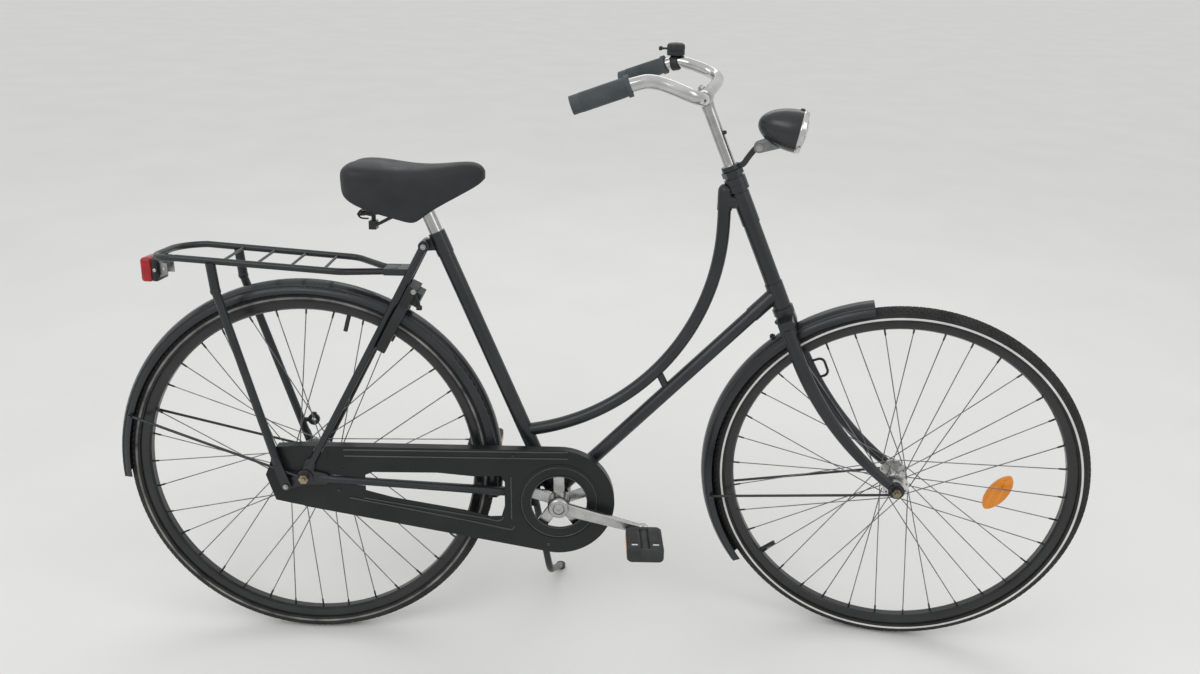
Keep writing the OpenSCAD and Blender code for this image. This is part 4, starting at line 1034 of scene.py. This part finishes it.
def blade_stations(side):
    """points down one blade, each with half its depth and half its width"""
    sweep = 2 * math.atan(RAKE / BLADE_BEND_T)
    radius = BLADE_BEND_T / math.sin(sweep)
    stations = []
    for t in (361, 345, 328):
        y = BLADE_TOP_Y + (BLADE_Y - BLADE_TOP_Y) * (BLADE_TOP_T - t) / BLADE_SPLAY_RUN
        stations.append((on_axis(t, 0, side * y), BLADE_DEEP, BLADE_WIDE))
    last = sweep - BLADE_END_GAP / radius
    for k in range(BLADE_STEPS + 1):
        a = last * k / BLADE_STEPS
        y = BLADE_Y - 0.5 if k == 0 else BLADE_Y
        ease = max(0.0, (k - BLADE_ROUND_FROM) / (BLADE_STEPS - BLADE_ROUND_FROM))
        place = on_axis(BLADE_BEND_T - radius * math.sin(a), radius * (1 - math.cos(a)), side * y)
        stations.append((place, BLADE_DEEP - 3.4 * ease, 10.7 - 1.5 * ease))
    return stations


def make_fork_blades():
    oval = [on_circle(1.0, 15 * k) for k in range(24)]
    bm = bmesh.new()
    for side in BOTH:
        stations = blade_stations(side)
        places = [place for place, _, _ in stations]
        rings = []
        for i, (place, deep, wide) in enumerate(stations):
            way = heading(places, i)
            ahead = way.cross(Vector((0, 1, 0))).normalized()
            out = ahead.cross(way)
            rings.append([bm.verts.new(place + deep * c * ahead + wide * s * out) for c, s in oval])
        skin(bm, rings)
    set_on(bm, "fork_blades", "steering", FRAME_PAINT, 50)


# Leaf reflector with a bevelled rim, clipped between the spokes
LEAF_STEPS = 48
LEAF_HALF_LENGTH, LEAF_HALF_WIDTH, LEAF_TAPER = 40.5, 18.6, 1.22


def make_leaf():
    outline = []
    for k in range(LEAF_STEPS):
        c, s = on_circle(1.0, 360 * k / LEAF_STEPS)
        outline.append((LEAF_HALF_LENGTH * c, LEAF_HALF_WIDTH * math.copysign(abs(s) ** LEAF_TAPER, s)))
    inner = [(0.84 * x, 0.8 * z) for x, z in outline]
    bm = bmesh.new()
    slab(bm, outline, -3.4, 3.4, 1.6, 3)
    slab(bm, inner, -4.2, 4.2, 0.8)
    seat = shift(FRONT_AXLE + Vector((190, 0, -7))) @ turn("Y", -62)
    bmesh.ops.transform(bm, matrix=seat, verts=bm.verts)
    lathe(bm, [(0, 2), (3.5, 2), (3.5, 13.4), (2.6, 13.8), (0, 13.8)],
          across_seat(FRONT_AXLE.x + 197.5, FRONT_AXLE.z + 8.1), 20)
    set_on(bm, "leaf_reflector", "front_wheel", AMBER, 40, "spoke_reflector")


# Small parts of the frame: carrier hook, lock, saddle wire, chain case ridges, brake strap
LOCK_LEVER = [Vector(p) for p in ((206, -26, 690), (209, -28, 682), (212, -28, 674), (213, -28, 666))]
SADDLE_WIRE = [(144, 15, 843), (126, 19, 842), (113, 21, 837), (109, 22, 830), (114, 21, 824),
               (126, 17, 822.5)]
CASE_FACE, CASE_RIDGE_Y = 59.2, -59.3
CASE_RIDGES = [
    # x and z along each pressed ridge
    [(72, 399.4), (200, 400.2), (330, 400.8), (440, 401.4), (486, 402)],
    [(73, 387.2), (200, 387.8), (330, 388.4), (430, 389), (487, 389)],
    [(107, 303.8), (210, 286.6), (322, 268), (352, 262), (362, 263), (367, 270)],
    [(80, 303.6), (142, 292), (297, 261.5), (374, 245), (384, 246), (388, 253)],
    [(380.5, 352), (381.5, 310), (382, 266)],
]
CASE_RIMS = ((53.2, 1.4), (70.4, 1.1))


def small_parts():
    bm = bmesh.new()
    lathe(bm, [(4.2, 58), (10.6, 58), (11.4, 59), (11.4, 65), (10.6, 66), (4.2, 66)],
          across_seat(-15, 413, False), 32, ring=True)
    block(bm, (-38, 58.5, 408), (-22, 65.5, 416), 1.6)
    block(bm, (-20, 58.5, 419), (-9, 65.5, 428), 2.4)
    set_on(bm, "carrier_hook", "frame", BLACK_PLASTIC)
    bm = bmesh.new()
    lathe(bm, [(0, 22), (5.2, 22), (5.2, 31), (4.4, 32.2), (2.4, 32.2), (2.0, 31), (0, 31)],
          across_seat(203.5, 694), 28)
    set_on(bm, "lock_cylinder", "frame", BARE_STEEL, 40)
    bm = bmesh.new()
    tube(bm, LOCK_LEVER, 2.6, 10)
    block(bm, (207.5, -31, 660), (218, -25, 669), 1.8)
    set_on(bm, "lock_lever", "frame", BLACK_PLASTIC, 40)
    bm = bmesh.new()
    for side in BOTH:
        tube(bm, sweep_points([(x, side * y, z) for x, y, z in SADDLE_WIRE], 5), 1.5, 10)
    set_on(bm, "saddle_wire", "frame", DARK_STEEL, 60)
    bm = bmesh.new()
    for line in CASE_RIDGES:
        tube(bm, sweep_points([(x, CASE_RIDGE_Y, z) for x, z in line], 6), 1.7, 10)
    for radius, bead in CASE_RIMS:
        rim = [on_circle(bead, 30 * k) for k in range(12)]
        lathe(bm, [(radius + a, CASE_FACE + b) for a, b in rim], across_seat(*BB), 96, ring=True)
    # The ridges and the rims round the hub hole take the lighter enamel, a painted highlight on the beads
    set_on(bm, "chain_case_ridges", "frame", CASE_RIDGE_HIGHLIGHT_PAINT, 60)
    bm = bmesh.new()
    slab(bm, belt((51.4, 331.7), 9.4, (51, 317), 7.4), -157, -143, 1.0)
    set_on(bm, "brake_strap", "frame", BARE_STEEL, 40, seat=PARKED @ turn("Z", 90))


# Small fasteners on the frame and the steering
STAY_R, STAY_Y = 342, 31.2
CASE_SCREWS = ((66, 359), (60, 318), (384, 392), (452, 214))
STRAP_BOLT = (150, 58.4, 317)
SEAT_LUG_X, SEAT_LUG_Y, SEAT_LUG_Z = 222, 25, 775
CARRIER_FOOT_Y, CARRIER_FOOT_Z = 76.8, 331
SMALL_BOLT = {"Washer radius": 0.0050, "Head radius": 0.0036, "Stud radius": 0.0022}


def fasteners():
    frame_bolts, stay_bolts, steer_bolts = [], [], []
    for side in BOTH:
        out = (0, side, 0)
        frame_bolts.append(((SEAT_LUG_X, side * SEAT_LUG_Y, SEAT_LUG_Z), out))
        foot_x = -33 if side < 0 else -19
        frame_bolts.append(((foot_x, side * CARRIER_FOOT_Y, CARRIER_FOOT_Z), out))
        stay_bolts.append((wheel_point(REAR_AXLE, STAY_R, side * STAY_Y, 163), out))
        steer_bolts.append((wheel_point(GUARD_HUB, STAY_R, side * STAY_Y, 191), out))
    frame_bolts.append((STRAP_BOLT, (0, 1, 0)))
    case_screws = [((x, -CASE_FACE, z), (0, -1, 0)) for x, z in CASE_SCREWS]
    grow("frame_bolts", "frame", BOLT, frame_bolts, BARE_STEEL, SMALL_BOLT)
    grow("mudguard_bolts", "frame", BOLT, stay_bolts, DARK_STEEL, SMALL_BOLT)
    grow("steering_bolts", "steering", BOLT, steer_bolts, DARK_STEEL, SMALL_BOLT)
    grow("chain_case_screws", "frame", SCREW, case_screws, DARK_STEEL)


# Stage: pale floor, soft light
LIGHT_PANELS = (
    # name, place, size, power, target
    ("key_panel", (-1.6, -1.8, 2.9), (2.2, 1.4), 20, (0, 0, 0.5)),
    ("fill_panel", (2.2, -1.2, 2.2), (1.4, 1.4), 8, (0, 0, 0.5)),
    ("back_panel", (0.3, 2.2, 2.6), (2.4, 1.0), 10, (0, 0, 0.6)),
)


def set_floor():
    bm = bmesh.new()
    bmesh.ops.create_grid(bm, x_segments=1, y_segments=1, size=30.0)
    mesh = bpy.data.meshes.new("floor")
    bm.to_mesh(mesh)
    bm.free()
    floor = bpy.data.objects.new("floor", mesh)
    floor.location = (0, 0, -0.0008)
    scene.collection.objects.link(floor)
    f = Finish("pale_floor")
    f.colour(f.noise(2.5, 4), (0.78, 0.78, 0.77), (0.81, 0.81, 0.80))
    f.levels({"Roughness": 0.75, "Specular IOR Level": 0.2})
    mesh.materials.append(f.material)


def set_world():
    """soft light that grows towards the zenith"""
    world = bpy.data.worlds.new("studio")
    scene.world = world
    world.use_nodes = True
    sky = Nodes(world.node_tree)
    way = sky.add("ShaderNodeSeparateXYZ", {"Vector": sky.add("ShaderNodeTexCoord")["Generated"]})
    lift = sky.add("ShaderNodeMapRange", {"Value": way["Z"], "From Min": -1.0})
    tone = sky.ramp(lift["Result"], 0.42, (0.66, 0.66, 0.66), 0.95, (0.92, 0.92, 0.92))
    sky.feed(world.node_tree.nodes["Background"], {"Color": tone, "Strength": 0.92})


def set_lights():
    for name, place, size, power, target in LIGHT_PANELS:
        data = bpy.data.lights.new(name, "AREA")
        data.shape = "RECTANGLE"
        data.size, data.size_y = size
        data.energy = power
        lamp = bpy.data.objects.new(name, data)
        lamp.location = place
        lamp.rotation_euler = (Vector(target) - Vector(place)).to_track_quat("-Z", "Y").to_euler()
        scene.collection.objects.link(lamp)


set_camera()
dress_nodes()
make_saddle()
dress_tyre("rear", REAR_AXLE, WORN_STRIPE)
dress_tyre("front", FRONT_AXLE, STRIPE)
dress_wheel("rear", REAR_AXLE, flange_r=40, flange_y=29, hole_r=36.5)
dress_wheel("front", FRONT_AXLE, flange_r=24, flange_y=30, hole_r=20.5)
dress_chain()
make_headlamp()
make_rear_lamp()
make_bell()
dress_grips()
make_crank(True)
make_crank(False)
spider_bolts()
make_pedal(True)
make_pedal(False)
make_cockpit()
make_fork_blades()
make_leaf()
small_parts()
fasteners()
set_floor()
set_world()
set_lights()
scene.view_settings.view_transform = "Standard"
